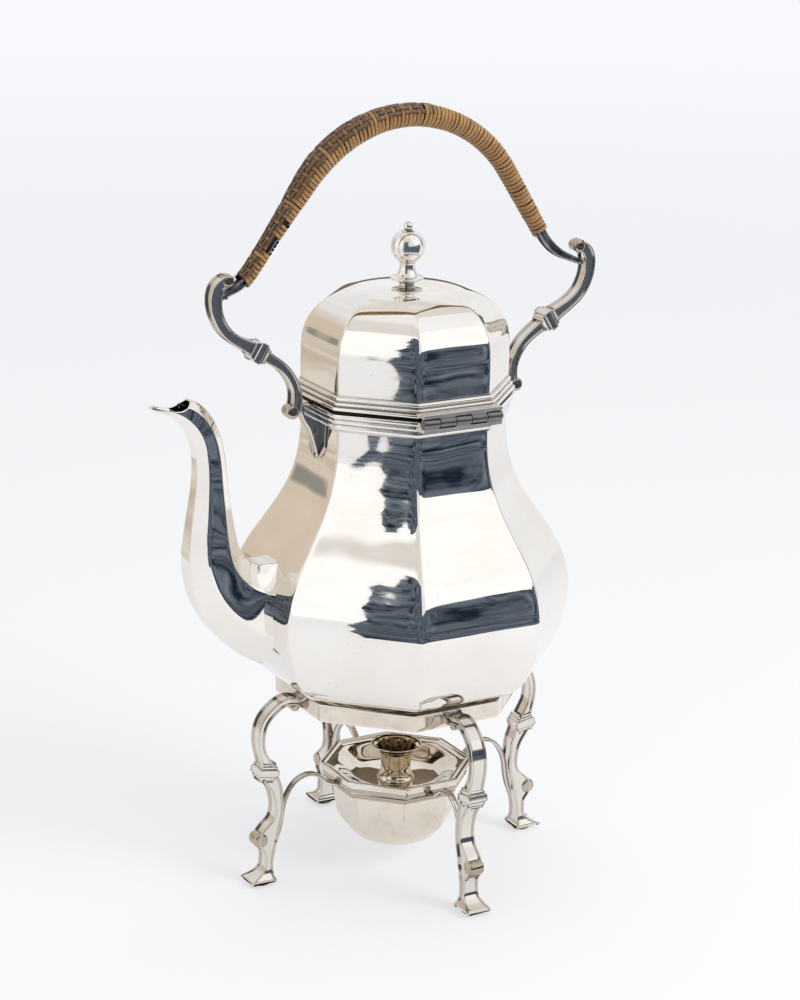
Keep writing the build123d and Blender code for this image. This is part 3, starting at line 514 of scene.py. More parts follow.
# %% Pieces
WORN_FINISHES = ("cast_silver", "hoop_silver", "dish_silver")


def piece(name, shape, finish, body, stands_for=(), slot="silver", crease=40, edge=0.0):
    """Mesh piece from a shape in millimetres. Edges sharper than 'crease' stay crisp."""
    mesh = bpy.data.meshes.new(name)
    mesh.from_pydata((shape[0] * MM).tolist(), [], shape[1])
    mesh.validate()
    made = bpy.data.objects.new(name, mesh)
    bpy.context.scene.collection.objects.link(made)
    mesh.materials.append(finish)
    mesh.shade_smooth()
    mesh.set_sharp_from_angle(angle=math.radians(crease))
    if finish.name in WORN_FINISHES:
        mark_edges(made)
    if edge:
        soften(made, edge, crease)
    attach(made, body)
    if stands_for:
        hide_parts(*stands_for)
    print(f"{name}: {len(mesh.polygons)} faces on {body}")
    return made


def store(made, name, values, vector=False):
    """Stores one value for each point of a piece, for its finish to read."""
    kind = "FLOAT_VECTOR" if vector else "FLOAT"
    made_values = made.data.attributes.new(name, kind, "POINT")
    made_values.data.foreach_set("vector" if vector else "value",
                                 np.asarray(values, np.float32).ravel())


SHARP_BEND = 12.0  # degrees at which an edge starts to be rubbed bright, and over which it grows


def mark_edges(made):
    """Stores how sharply the surface bends outward at each point, for worn, bright edges."""
    work = bmesh.new()
    work.from_mesh(made.data)
    bends = [max((e.calc_face_angle_signed(0.0) for e in v.link_edges), default=0.0) for v in work.verts]
    work.free()
    store(made, "edge", np.clip((np.degrees(bends) - SHARP_BEND) / SHARP_BEND, 0, 1))


def soften(made, edge, crease=40):
    """Small rounded edge, so that every corner catches a line of light."""
    bevel = made.modifiers.new("worn_edge", "BEVEL")
    bevel.width = edge * MM
    bevel.segments = 2
    bevel.limit_method = "ANGLE"
    bevel.angle_limit = math.radians(crease)
    bevel.harden_normals = True


QUARTERS = {"rear": 0, "far_side": 1, "spout_side": 2, "hinge_side": 3}


def on_sides(sides, name, node_name, shape, body, **look):
    """A cast piece for each side: the shape of the rear one, turned by quarters about the axis."""
    for side in sides:
        piece(f"{name}_{side}", turned_about(shape, QUARTERS[side] * math.pi / 2), cast_silver, body,
              [f"{node_name}_{side}"], **look)


print("piece helpers ready")

# %% [markdown]
# ## Eight panels with one formula
#
# The kettle's plan is an octagon, but its crown, the lamp's dish and the flame opening are round,
# and the panels melt into them. A high power of the eight facing directions, added up, gives a
# sharp octagon, and a power of two gives a circle. So the power, called crispness here, says at
# each level how sharp the corners are. Cutting a round body with eight planes would need a
# boolean, whose slivers show in a mirror finish.

# %% Eight-sided rows
def corner_steps():
    """Places along a panel, from -1 to 1, crowded toward its two corners."""
    near = np.array([0.0, 0.004, 0.009, 0.016, 0.026, 0.042, 0.07, 0.13, 0.25, 0.45, 0.7])
    half = 1.0 - near
    return np.concatenate([-half, [0.0], half[:0:-1]])


PANEL_ANGLES = np.concatenate([k * TURN + np.arctan(corner_steps() * math.tan(TURN / 2))
                               for k in range(SIDES)])
ROUND = 2.0
CRISP = 130.0


def plan_radius(crispness):
    """Radius at each angle of an eight-sided plan whose panels lie 1 from the axis."""
    total = np.zeros_like(PANEL_ANGLES)
    for k in range(SIDES):
        total += np.maximum(np.cos(PANEL_ANGLES - k * TURN), 0.0) ** crispness
    scale = sum(max(math.cos(k * TURN), 0.0) ** crispness for k in range(SIDES))
    return (scale / total) ** (1 / crispness)


def circle_angles(count):
    """Angles of 'count' points spaced evenly round a circle."""
    return np.linspace(0, 2 * math.pi, count, endpoint=False)


def level_ring(angles, radius, level, x=0.0, y=0.0):
    """Level ring of points round (x, y), with one radius or one for each angle."""
    return np.stack([x + radius * np.cos(angles), y + radius * np.sin(angles),
                     np.full(len(angles), level)], axis=1)


def panelled(outline, looped=False):
    """Shape from rows of (distance to the panels, level, crispness)."""
    return skin([level_ring(PANEL_ANGLES, flat * plan_radius(crispness), level)
                 for flat, level, crispness in outline], looped=looped)


def crisp(points):
    """Rows of full crispness from an outline of (corner radius, level)."""
    return [(radius * FLAT, level, CRISP) for radius, level in np.asarray(points)[:, :2]]


def spun(points, count=96, capped=(False, False)):
    """Turned shape from an outline of (radius, level)."""
    return skin([level_ring(circle_angles(count), r, z) for r, z in np.asarray(points)[:, :2]], capped)


print("panel angles:", len(PANEL_ANGLES))

# %% [markdown]
# ## Straps, rolls and knops
#
# Legs, arms and brackets are flat cast straps bent in an upright plane. Each is a rounded
# rectangle carried along a line, with its own thickness at each point. A curve object with a bevel
# profile could do this too, but its section can't thin and thicken apart from its width.

# %% Straps
def rectangle(tall, wide, corner, holding=True):
    """Rounded rectangle as points of (up, across). Holding points keep its corners' wear narrow."""
    corner = min(corner, 0.8 * tall, 0.8 * wide)
    near = min(0.4, 0.4 * (tall - corner), 0.4 * (wide - corner))
    arc = [(tall - corner + corner * math.sin(t), wide - corner + corner * math.cos(t))
           for t in np.linspace(0, math.pi / 2, 4)]
    if holding:
        arc = [(tall - corner - near, wide)] + arc + [(tall, wide - corner - near)]
    points = []
    for quarter, (su, sa) in enumerate(((1, 1), (-1, 1), (-1, -1), (1, -1))):
        points += [(su * up, sa * across) for up, across in (arc[::-1] if quarter % 2 else arc)]
    return np.array(points)


def upright_ring(section, x, z, slope):
    """Section set square to a line in the XZ plane that rises at 'slope' radians."""
    up = np.array([-math.sin(slope), 0.0, math.cos(slope)])
    return np.array([x, 0.0, z]) + section[:, :1] * up + section[:, 1:] * np.array([0.0, 1.0, 0.0])


def level_section(x, z, half_out, half_across, corner):
    """Rounded rectangle that lies level, with its middle at (x, z)."""
    return np.pad(rectangle(half_out, half_across, corner), ((0, 0), (0, 1))) + np.array([x, 0.0, z])


THINNEST = 0.3
STRAP_CORNER = 0.55


def strap_rings(points, rows, corner=STRAP_CORNER):
    """Rings of a strap along points of (x, z, half thickness, half width)."""
    line = through(points, rows)
    dx, dz = np.gradient(line[:, 0]), np.gradient(line[:, 1])
    return [upright_ring(rectangle(max(t, THINNEST), max(w, THINNEST), corner), x, z, math.atan2(b, a))
            for (x, z, t, w), a, b in zip(line, dx, dz)]


def strap(points, rows=60, corner=STRAP_CORNER):
    """Strap with closed ends."""
    return skin(strap_rings(points, rows, corner), (True, True))


def roll(x, z, radius, half_width):
    """Rolled end of a scroll: a bar along Y with rounded rims."""
    rim = [(0.0, half_width), (radius - 1.3, half_width), (radius - 0.4, half_width - 0.3),
           (radius, half_width - 1.1)]
    profile = rounded_off([(r, -y) for r, y in rim] + rim[::-1], 1)
    return skin([level_ring(circle_angles(40), r, y, x, z)[:, [0, 2, 1]] for r, y in profile[1:-1]],
                (True, True))


KNOP_STEPS = [  # distance before the middle, then the cuts from half its thickness and half its width
    (4.8, 1.8, 1.5), (3.9, 1.7, 1.4), (3.3, 1.05, 0.9), (2.9, 0.8, 0.8), (2.2, 0.75, 0.75),
    (1.95, 1.15, 1.1), (1.75, 0.3, 0.3), (1.5, 0.0, 0.0)]


def knop(x, z, slope, across, width):
    """Moulded square knop: a broad band between two pairs of narrower fillets."""
    steps = [(-s, a, b) for s, a, b in KNOP_STEPS] + [(0.0, -0.05, -0.05)] + KNOP_STEPS[::-1]
    turn = math.radians(slope)
    return skin([upright_ring(rectangle(across / 2 - a, width / 2 - b, 0.5, holding=False),
                              x + s * math.cos(turn), z + s * math.sin(turn), turn)
                 for s, a, b in steps], (True, True))


print("strap helpers ready")

# %% [markdown]
# ## The kettle's body
#
# The body is one raised sheet: a pear with eight panels that curve only up and down. Its corner
# line is a spline, read as shares of the neck and belly sizes that the frame gives. The inside
# wall is part of the same skin, so that the kettle is hollow when its lid is open. The creases are
# about a millimetre wide, as they are where a mallet has folded silver over a stake.

# %% Body
SHEET = 1.2
FINE_SHEET = 0.9
body_low, body_high = size("kettle_body")
NECK_TOP = body_high[2]
BODY_BOTTOM = body_low[2]
BELLY = body_high[0] / FLAT
NECK = 49.8
BASE = 60.0
BASE_HOLE = 47.3
BELLY_LEVEL = BODY_BOTTOM + 41.3
SHOULDER = [(0.0, 0.0), (0.0, 0.176), (0.113, 0.378), (0.363, 0.540), (0.70, 0.702),
            (0.926, 0.853), (1.0, 1.0)]
FLANK = [(0.945, 0.72), (0.83, 0.48), (0.60, 0.22), (0.36, 0.09), (0.0, 0.0)]


def moved_in(line, distance):
    """Outline moved toward the inside of the vessel by the sheet's thickness."""
    run = np.gradient(line, axis=0)
    side = np.stack([run[:, 1], -run[:, 0]], axis=1) / np.linalg.norm(run, axis=1)[:, None]
    return line + side * distance


outside = through(between(SHOULDER, NECK, BELLY, NECK_TOP, BELLY_LEVEL)
                  + between(FLANK, BASE, BELLY, BODY_BOTTOM, BELLY_LEVEL), 110)
inside = moved_in(outside, SHEET)[::-1]
inside = inside[inside[:, 1] > BODY_BOTTOM + 2 * SHEET]
floor = [(BASE - 2.0, BODY_BOTTOM), (BASE_HOLE, BODY_BOTTOM), (BASE_HOLE, BODY_BOTTOM + SHEET),
         (BASE - 3.5, BODY_BOTTOM + SHEET)]
body_rows = crisp(outside) + crisp(floor) + crisp(inside)
piece("body_sheet", panelled(body_rows, looped=True), body_silver, "kettle", ["kettle_body"], crease=55)


def panel_at(level):
    """Distance from the axis to the body's panels at a level."""
    return np.interp(level, outside[::-1, 1], outside[::-1, 0]) * FLAT


print("belly", round(BELLY, 1), "mm at the corners, neck rim at", round(NECK_TOP, 1))

# %% [markdown]
# ## Reeded mouldings
#
# The neck's collar and the lid's rim are the same moulding, one turned over: three reeds that
# step outward, with a narrow groove between each two. A bevel profile swept round an octagon could
# make them, but it would pinch at the corners. Here the reeds are a short list of steps, rounded
# by corner cutting, and the octagon formula carries them round with mitred corners.

# %% Collar and lid rim
collar_low, collar_high = size("neck_collar")
rim_low, rim_high = size("lid_rim")
REEDS = [(0.0, 0.0), (0.0, 0.10), (0.20, 0.13), (0.30, 0.20), (0.30, 0.28), (0.20, 0.36), (0.19, 0.40),
         (0.52, 0.44), (0.64, 0.50), (0.64, 0.58), (0.53, 0.65), (0.52, 0.68), (0.92, 0.71),
         (1.0, 0.76), (1.0, 0.86), (0.93, 0.915), (0.50, 0.925), (0.46, 1.0)]
BESIDE = 1.2  # a row's neighbours lie within this height of it
CLEAN_DEPTH = 0.12
FULL_DEPTH = 0.95
OUTER_SHADE_AND_GRIME = 0.42


def groove_shade_and_grime(reeds, low, high):
    """Painted shade with grime of each row: by its depth under the reeds beside it, fullest next to the
    lid's gap.
    """
    depth = np.array([max(r for r, z in reeds if abs(z - level) < BESIDE) - radius
                      for radius, level in reeds])
    share = (reeds[:, 1] - low) / (high - low)
    deep = np.clip((depth - CLEAN_DEPTH) / FULL_DEPTH, 0, 1) ** 1.2
    return deep * np.where(share > 0.9, 1.0, OUTER_SHADE_AND_GRIME)


def moulding(name, low, high, small, large, wall, body, stands_for):
    """Closed ring: reeds outside, a plain wall at radius 'wall' inside, painted shade with grime in its
    grooves.
    """
    reeds = rounded_off(between(REEDS, small, large, low, high))
    rows = crisp(reeds) + crisp([(wall, high), (wall, low)])
    made = piece(name, panelled(rows, looped=True), trim_silver, body, [stands_for], crease=50)
    # The inner wall is fully dark: painted shade inside the lid's gap.
    shade_and_grime = list(groove_shade_and_grime(reeds, low, high)) + [1.0, 1.0]
    store(made, "shade_and_grime", np.repeat(shade_and_grime, len(PANEL_ANGLES)))


COLLAR = collar_high[0] / FLAT
RIM = rim_high[0] / FLAT
LID = 50.1
moulding("collar_reeds", collar_low[2], collar_high[2], NECK + 1.0, COLLAR, NECK, "kettle", "neck_collar")
moulding("lid_rim_reeds", rim_high[2], rim_low[2], LID + 0.3, RIM, LID, "lid", "lid_rim")

# %% [markdown]
# ## The domed lid
#
# The lid's walls continue the eight panels, and its creases arch inward and die away near the
# crown, where the dome is round. So the crispness falls from full to none between the wall and
# the crown. Flattened corners on a half sphere would leave the creases straight.

# %% Lid dome
CROWN = size("lid_dome")[1][2]
RIM_TOP = rim_high[2]
DOME = [(0.0, 0.0), (0.20, 0.003), (0.40, 0.016), (0.559, 0.045), (0.685, 0.097), (0.79, 0.165),
        (0.87, 0.245), (0.946, 0.370), (0.990, 0.52), (1.0, 0.66), (1.0, 1.0)]


def fading(share, start, end):
    """Crispness that grows from round at 'start' to full at 'end'."""
    s = min(max((share - start) / (end - start), 0.0), 1.0)
    return ROUND * (CRISP / ROUND) ** (s * s * (3 - 2 * s))


def dome_rows(inset, rows):
    """Rows from the crown down to the rim, moved in by 'inset'."""
    line = through(between(DOME, 0.0, LID, CROWN, RIM_TOP), rows)
    line = moved_in(line, inset) if inset else line
    line[0, 0] = 0.02
    return [(r * FLAT, z, fading(r / LID, 0.53, 0.83)) for r, z in line]


skirt = [(LID * FLAT, rim_low[2], CRISP), ((LID - 1.0) * FLAT, rim_low[2], CRISP)]
dome_skin = dome_rows(0.0, 80) + skirt + dome_rows(FINE_SHEET, 50)[::-1]
piece("lid_dome_sheet", panelled(dome_skin), lid_silver, "lid", ["lid_dome"], crease=55)
print("crown at", round(CROWN, 1))

# %% [markdown]
# ## The finial
#
# The knob is turned: a short foot, a cupped flange, a waisted neck, a ball and a bead on the end
# of its rod. Balls and cylinders could be joined, but their seams would show in a mirror. So a
# half outline spun round the axis gives it, with corner cutting for the soft steps.

# %% Finial
def ball_arc(radius, middle, start, end, step):
    """Outline of a ball between two elevations in degrees."""
    return [(radius * math.cos(math.radians(a)), middle + radius * math.sin(math.radians(a)))
            for a in range(start, end, step)]


BALL = 8.1
finial_top = size("finial")[1][2]
ball_level = finial_top - BALL
stem = rounded_off(placed([(3.9, -0.6), (3.7, 0.4), (3.6, 1.2), (4.6, 1.7), (7.2, 2.3), (7.9, 3.0),
                           (7.6, 3.6), (6.0, 3.9), (4.8, 5.2), (3.9, 7.2), (3.6, 9.4), (3.9, 10.6)],
                          0.0, CROWN) + [(5.0, ball_level - 6.38)])
knob = list(map(tuple, stem)) + ball_arc(BALL, ball_level, -52, 72, 6)
knob += [(3.2, ball_level + BALL - 0.55), (3.2, finial_top), (1.55, finial_top)]
piece("finial_knob", spun(knob), knob_silver, "lid", ["finial"], crease=50)

BEAD = 2.3
rod_low, rod_high = size("finial_rod")
bead = [(1.45, rod_low[2]), (1.45, finial_top)] + ball_arc(BEAD, rod_high[2] - BEAD, -50, 91, 10)
piece("finial_bead", spun(bead, 48, capped=(True, False)), knob_silver, "lid", ["finial_rod"])

# %% [markdown]
# ## The spout
#
# The swan neck is eight-sided too, a wide oval at its root and a narrow tube at its mouth, and its
# lip is cut level and drawn to a beak. Sections follow a line of stations, the points inside the
# body are drawn out onto its panel, and the part above the mouth is cut away. The cut dips behind
# the beak, as a pouring lip does. A second skin one millimetre inside makes the neck a tube.

# %% Spout
spout_low, spout_high = size("spout")
MOUTH = spout_high[2]
TIP = spout_low[0]
STATIONS = [(62.0, 106.8, 163, 26.0, 15.6), (49.8, 102.5, 156, 22.6, 14.6),
            (40.8, 95.8, 139, 18.8, 13.2), (34.4, 87.3, 121, 16.0, 12.2),
            (31.0, 77.8, 103, 13.8, 11.6), (29.9, 66.8, 92, 11.8, 10.8),
            (29.8, 52.8, 89, 9.6, 9.4), (29.7, 38.8, 91, 7.8, 8.0), (29.0, 26.8, 98, 7.2, 7.2),
            (25.5, 14.8, 118, 6.9, 6.9), (19.9, 7.1, 139, 6.7, 6.4), (13.2, 3.0, 157, 5.0, 5.3),
            (5.6, 1.8, 172, 2.5, 3.8), (2.0, 1.5, 176, 1.7, 2.9), (0.0, 1.4, 178, 0.6, 1.5)]
SPOUT_CRISP = 60.0
ROOT_SINK = 0.6


def spout_skin(wall):
    """Spout's skin from the body's panel to the tip, moved in by the wall, before it is cut level."""
    marks = [(TIP + x, MOUTH - z, turn, tall - min(wall, 0.4 * tall), wide - min(wall, 0.4 * wide))
             for x, z, turn, tall, wide in STATIONS]
    line = through(marks[:-1] if wall else marks, 150)
    plan = plan_radius(SPOUT_CRISP)
    rings = []
    for x, z, turn, tall, wide in line:
        up = np.array([-math.sin(math.radians(turn)), 0.0, math.cos(math.radians(turn))])
        ring = np.array([x, 0.0, z]) + np.outer(tall * plan * np.cos(PANEL_ANGLES), up) \
            + np.outer(wide * plan * np.sin(PANEL_ANGLES), (0.0, 1.0, 0.0))
        panel = ROOT_SINK - panel_at(ring[:, 2])
        if (ring[:, 0] >= panel).all():
            rings.clear()
        ring[:, 0] = np.minimum(ring[:, 0], panel)
        rings.append(ring)
    points, faces = skin(rings, (False, True))
    return points, [face[::-1] for face in faces] if wall else faces


SCOOP = through([(-1.0, 0.2), (1.0, 0.8), (3.6, 1.6), (6.0, 2.3), (8.6, 3.0), (12.0, 3.6), (14.0, 3.4),
                 (15.5, 2.7), (17.0, 1.8), (18.3, 0.7), (19.5, -0.6), (21.0, -1.3), (25.0, -1.3)], 80)


SCOOP_ZONE = 9.0  # the mesh is made finer from this far under the mouth


def dip(x):
    """How far the mouth's rim lies under its highest point."""
    return float(np.interp(x / MM - TIP, SCOOP[:, 0], SCOOP[:, 1])) * MM


def cut_mouth(made, level):
    """Cuts the spout off at its mouth and closes the rim between its two skins."""
    work = bmesh.new()
    work.from_mesh(made.data)
    near = [e for e in work.edges if all(v.co.z > (level - SCOOP_ZONE) * MM for v in e.verts)]
    bmesh.ops.subdivide_edges(work, edges=near, cuts=2, use_grid_fill=True)
    for v in work.verts:
        v.co.z += dip(v.co.x)
    bmesh.ops.bisect_plane(work, geom=work.verts[:] + work.edges[:] + work.faces[:],
                           plane_co=(0, 0, level * MM), plane_no=(0, 0, 1), clear_outer=True)
    rim = [e for e in work.edges if e.is_boundary
           and all(abs(v.co.z - level * MM) < 0.000001 for v in e.verts)]
    bmesh.ops.bridge_loops(work, edges=rim)
    for v in work.verts:
        v.co.z -= dip(v.co.x)
    work.to_mesh(made.data)
    work.free()
    print("mouth rim of", len(rim), "edges")


swan_neck = piece("spout_neck", joined(spout_skin(0.0), spout_skin(1.0)), body_silver, "kettle",
                  ["spout"], crease=55)
cut_mouth(swan_neck, MOUTH - 0.2)

# %% [markdown]
# ## Arms of the handle
#
# Each arm is a cast S-strap that leaves the neck, passes through a square knop and ends in a
# C-scroll that holds the bar. Both sit in one upright plane, so one shape is made on the +X side
# and turned half round for the other.

# %% Handle arms
ARM_ROOT = 58.8
ARM_HALF = 3.8


def arm_shape():
    """Two straps with a square knop between them and a roll at each end, from the root upward."""
    lower = placed([(0.6, -2.0, 2.3), (0.1, 5.0, 2.2), (2.6, 12.8, 2.2), (7.6, 19.2, 2.3),
                    (13.4, 23.4, 2.6), (19.0, 27.2, 3.0)], ARM_ROOT, NECK_TOP, ARM_HALF)
    upper = placed([(19.0, 27.2, 3.6), (24.4, 30.4, 3.2), (30.4, 33.8, 2.7), (36.7, 38.8, 2.6),
                    (40.9, 46.0, 2.7), (42.2, 53.8, 2.9), (40.2, 60.2, 2.9), (36.3, 63.0, 2.6)],
                   ARM_ROOT, NECK_TOP, ARM_HALF)
    foot, curl, block = placed([(2.3, -2.8, 3.4), (35.9, 62.5, 3.0), (20.0, 27.6)], ARM_ROOT, NECK_TOP)
    return joined(strap(lower), strap(upper, rows=80), roll(*foot, ARM_HALF), roll(*curl, ARM_HALF),
                  knop(*block, 32, 10.4, 10.6))


HANDLE_SIDES = ("rear", "spout_side")
on_sides(HANDLE_SIDES, "arm", "handle_arm", arm_shape(), "kettle", crease=38, edge=0.32)

# %% [markdown]
# ## Mounts on the neck
#
# Each arm is soldered to the neck through a cast mount: a tongue under the arm's root that dies
# away down the neck, on a shield-shaped pad. A sculpted block would do, but two stacks of level
# rounded rectangles follow the neck's panel exactly, because each is set from the body's line.

# %% Neck mounts
PAD_HALF = 7.9
PAD_POINT = 7.5


def mount_shape():
    """Tongue and pad, from under the arm's root downward."""
    top, low = NECK_TOP - 0.3, NECK_TOP - 27.0
    line = through([(56.4, top, 3.0), (56.0, top - 5.4, 3.0), (52.9, top - 11.0, 3.0),
                    (49.9, top - 18.6, 2.7), (47.3, low, 2.2)], 30)
    inner = NECK * FLAT - 0.7
    tongue = [level_section((x + inner) / 2, z, (x - inner) / 2, half, 0.5) for x, z, half in line]
    pad = []
    for z in np.linspace(NECK_TOP - 9.0, low, 24):
        into_point = max(0.0, (low + PAD_POINT - z) / PAD_POINT)
        half = PAD_HALF * math.sqrt(max(0.02, 1 - into_point ** 2))
        pad.append(level_section(panel_at(z) + 0.1, z, 0.8, half, 0.3))
    return joined(skin(tongue, (True, True)), skin(pad, (True, True)))


on_sides(HANDLE_SIDES, "mount", "neck_mount", mount_shape(), "kettle", crease=38, edge=0.2)

# %% [markdown]
# ## The bar of the bail
#
# The bail is one forged bar: two straight flanks that lean in to a broad bend over the lid, and a
# short turn at each foot. A spline through a few points would make it wander, so its route is a
# corner list with a radius at each corner, which is how a smith would set it out.

# %% Bar
GRIP_RISE = 131.6
FRONT_SLOPE, REAR_SLOPE = math.radians(54.4), math.radians(57.0)
FRONT_CORNER, REAR_CORNER = 85.1, 79.7
FOOT_LEVEL = NECK_TOP + 61.3
FOOT_BEND = 30.0
END_X, END_Z = 98.7, NECK_TOP + 53.5
BAR_STEP = 0.5


def filleted(points, radii):
    """Points a bar step apart along a route with rounded corners."""
    points = np.asarray(points, float)
    line = [points[0]]
    for before, corner, after, radius in zip(points[:-2], points[1:-1], points[2:], radii):
        a = (before - corner) / np.linalg.norm(before - corner)
        b = (after - corner) / np.linalg.norm(after - corner)
        half = math.acos(float(a @ b)) / 2
        centre = corner + (a + b) / np.linalg.norm(a + b) * radius / math.sin(half)
        start, end = corner + a * radius / math.tan(half), corner + b * radius / math.tan(half)
        for t in np.linspace(0, 1, 60):
            spoke = (start - centre) * (1 - t) + (end - centre) * t
            line.append(centre + spoke / np.linalg.norm(spoke) * radius)
    line = np.array(line + [points[-1]])
    run = np.concatenate([[0.0], np.cumsum(np.linalg.norm(np.diff(line, axis=0), axis=1))])
    at = np.arange(0.0, run[-1], BAR_STEP)
    return np.stack([np.interp(at, run, line[:, 0]), np.interp(at, run, line[:, 1])], axis=1)


rise = (FRONT_CORNER + REAR_CORNER) / (1 / math.tan(FRONT_SLOPE) + 1 / math.tan(REAR_SLOPE))
peak = (REAR_CORNER - rise / math.tan(REAR_SLOPE), FOOT_LEVEL + rise)
bend = (peak[1] - NECK_TOP - GRIP_RISE) / (1 / math.cos((FRONT_SLOPE + REAR_SLOPE) / 2) - 1)
bar_line = filleted([(-END_X, END_Z), (-FRONT_CORNER, FOOT_LEVEL), peak, (REAR_CORNER, FOOT_LEVEL),
                     (END_X, END_Z)], (FOOT_BEND, bend, FOOT_BEND))
bar_run = np.arange(len(bar_line)) * BAR_STEP
bar_length = bar_run[-1]
slopes = np.unwrap(np.arctan2(np.gradient(bar_line[:, 1]), np.gradient(bar_line[:, 0])))

BAR_TALL = 2.2
TONGUE_WIDE = 1.5
BAR_EXTRA_WIDTH = 1.3


def bar_shape():
    """Bar that thins to a tongue at each end."""
    rings = []
    for i in range(0, len(bar_line), 3):
        share = i / (len(bar_line) - 1)
        end = min(share, 1 - share)
        tall = BAR_TALL * min(1.0, 0.55 + 6.0 * end)
        wide = TONGUE_WIDE + BAR_EXTRA_WIDTH * min(1.0, max(0.0, (end - 0.020) / 0.015))
        rings.append(upright_ring(rectangle(tall, wide, 0.9), *bar_line[i], slopes[i]))
    return skin(rings, (True, True))


piece("bail_bar", bar_shape(), bar_metal, "kettle", ["handle_bar"], crease=60)
print("bar length", round(bar_length), "mm, bend radius", round(bend, 1))

# %% [markdown]
# ## Cane binding
#
# The grip is bound with split cane: one strand wound round and round, a couple of millimetres to
# a turn, and on the outer side of the spout-side half a set of lengthwise strands that the winding
# passes over and under. A picture of a weave would stay flat on the silhouette, so every strand
# is modelled: the winding is one long helix whose height over the bar rises where it crosses a
# lengthwise strand, and each lengthwise strand dips there. Three stored values colour them: a tint
# for each strand, dirt for age and a hand with painted shade in the gaps, at the strands' edges and
# where a strand passes under another, and the direction of the fibres.

# %% Cane sleeve sizes
PITCH = 2.1
CANE = 5.7
STRAND = 0.62
CANE_SIZES = [(0.055, 0.74), (0.09, 0.76), (0.13, 0.74), (0.19, 0.84), (0.24, 1.0), (0.30, 1.12),
              (0.36, 1.12), (0.43, 1.05), (0.50, 1.0), (0.58, 0.97), (0.66, 0.93), (0.74, 0.88),
              (0.82, 0.83), (0.88, 0.78), (0.93, 0.76)]
shares, swell = np.array(CANE_SIZES).T
cane_start = float(np.interp(-86.8, bar_line[:, 0], bar_run))
cane_end = float(np.interp(73.2, bar_line[:, 0], bar_run))
WOVEN_END = 0.545 * bar_length
WOVEN_SIDE = math.radians(76)
RUNNERS = [math.radians(a) for a in (-62, -37, -12, 13, 38, 63)]
RUNNER_HALF = math.radians(11.5)
RISE_START, RISE_END, RISE = 0.9, 1.35, 0.45  # where the winding climbs, in half strands


def sleeve(run):
    """Radius of the bound grip at a distance along the bar."""
    return CANE * np.interp(run / bar_length, shares, swell)


def on_bar(run, angle, radius):
    """Point at a distance along the bar, an angle from its outer side and a radius."""
    x, z = np.interp(run, bar_run, bar_line[:, 0]), np.interp(run, bar_run, bar_line[:, 1])
    slope = np.interp(run, bar_run, slopes)
    lift, across = radius * np.cos(angle), radius * np.sin(angle)
    return np.stack([x - np.sin(slope) * lift, across, z + np.cos(slope) * lift], axis=-1)


def plain_turn(turn):
    """True for the few turns that pass over every lengthwise strand."""
    return turn % 13 == 6


def over(turn, runner):
    """1 where the winding passes over this lengthwise strand, else 0."""
    return float((turn + 2 * runner) % 4 == 0 or plain_turn(turn))


def raised(run, angle, turn):
    """How far the winding rises over the strands that it crosses, in strand thicknesses."""
    if run > WOVEN_END:
        return 0.0
    up = 0.0
    for k, middle in enumerate(RUNNERS):
        beside = abs(math.remainder(angle - middle, 2 * math.pi)) / RUNNER_HALF
        if beside < RISE_END:
            reach = 1.0 if beside < RISE_START else (RISE_END - beside) / RISE
            up = max(up, over(turn, k) * reach)
    return up


print("grip from", round(cane_start), "to", round(cane_end), "mm along the bar")

# %% [markdown]
# ## The winding
#
# The winding is one flat strand of cane, about 104 turns of it, pulled over the woven strip. A
# repeated ring would be quicker to make, but real turns drift a little, so each turn has its own
# lean and its own tone. The strand's section has six points: a flat crown and two thin edges that
# tuck under its neighbours. Where the grip is worn, its faces are left out.

# %% The winding
TURN_POINTS = 30
WORN_GAPS = [(0.118, 0.152, -2.7, -1.45), (0.174, 0.185, -2.5, -1.4)]  # shares of the bar, angles
WOUND_ACROSS = np.array([-0.96, -0.80, -0.35, 0.35, 0.80, 0.96])
WOUND_CROWN = np.array([-0.70, 0.08, 0.42, 0.42, 0.08, -0.70])
# Painted shade at the strand's edges, where they tuck under its neighbours.
WOUND_EDGE_SHADE = (0.95, 0.16, 0.0, 0.0, 0.16, 0.95)


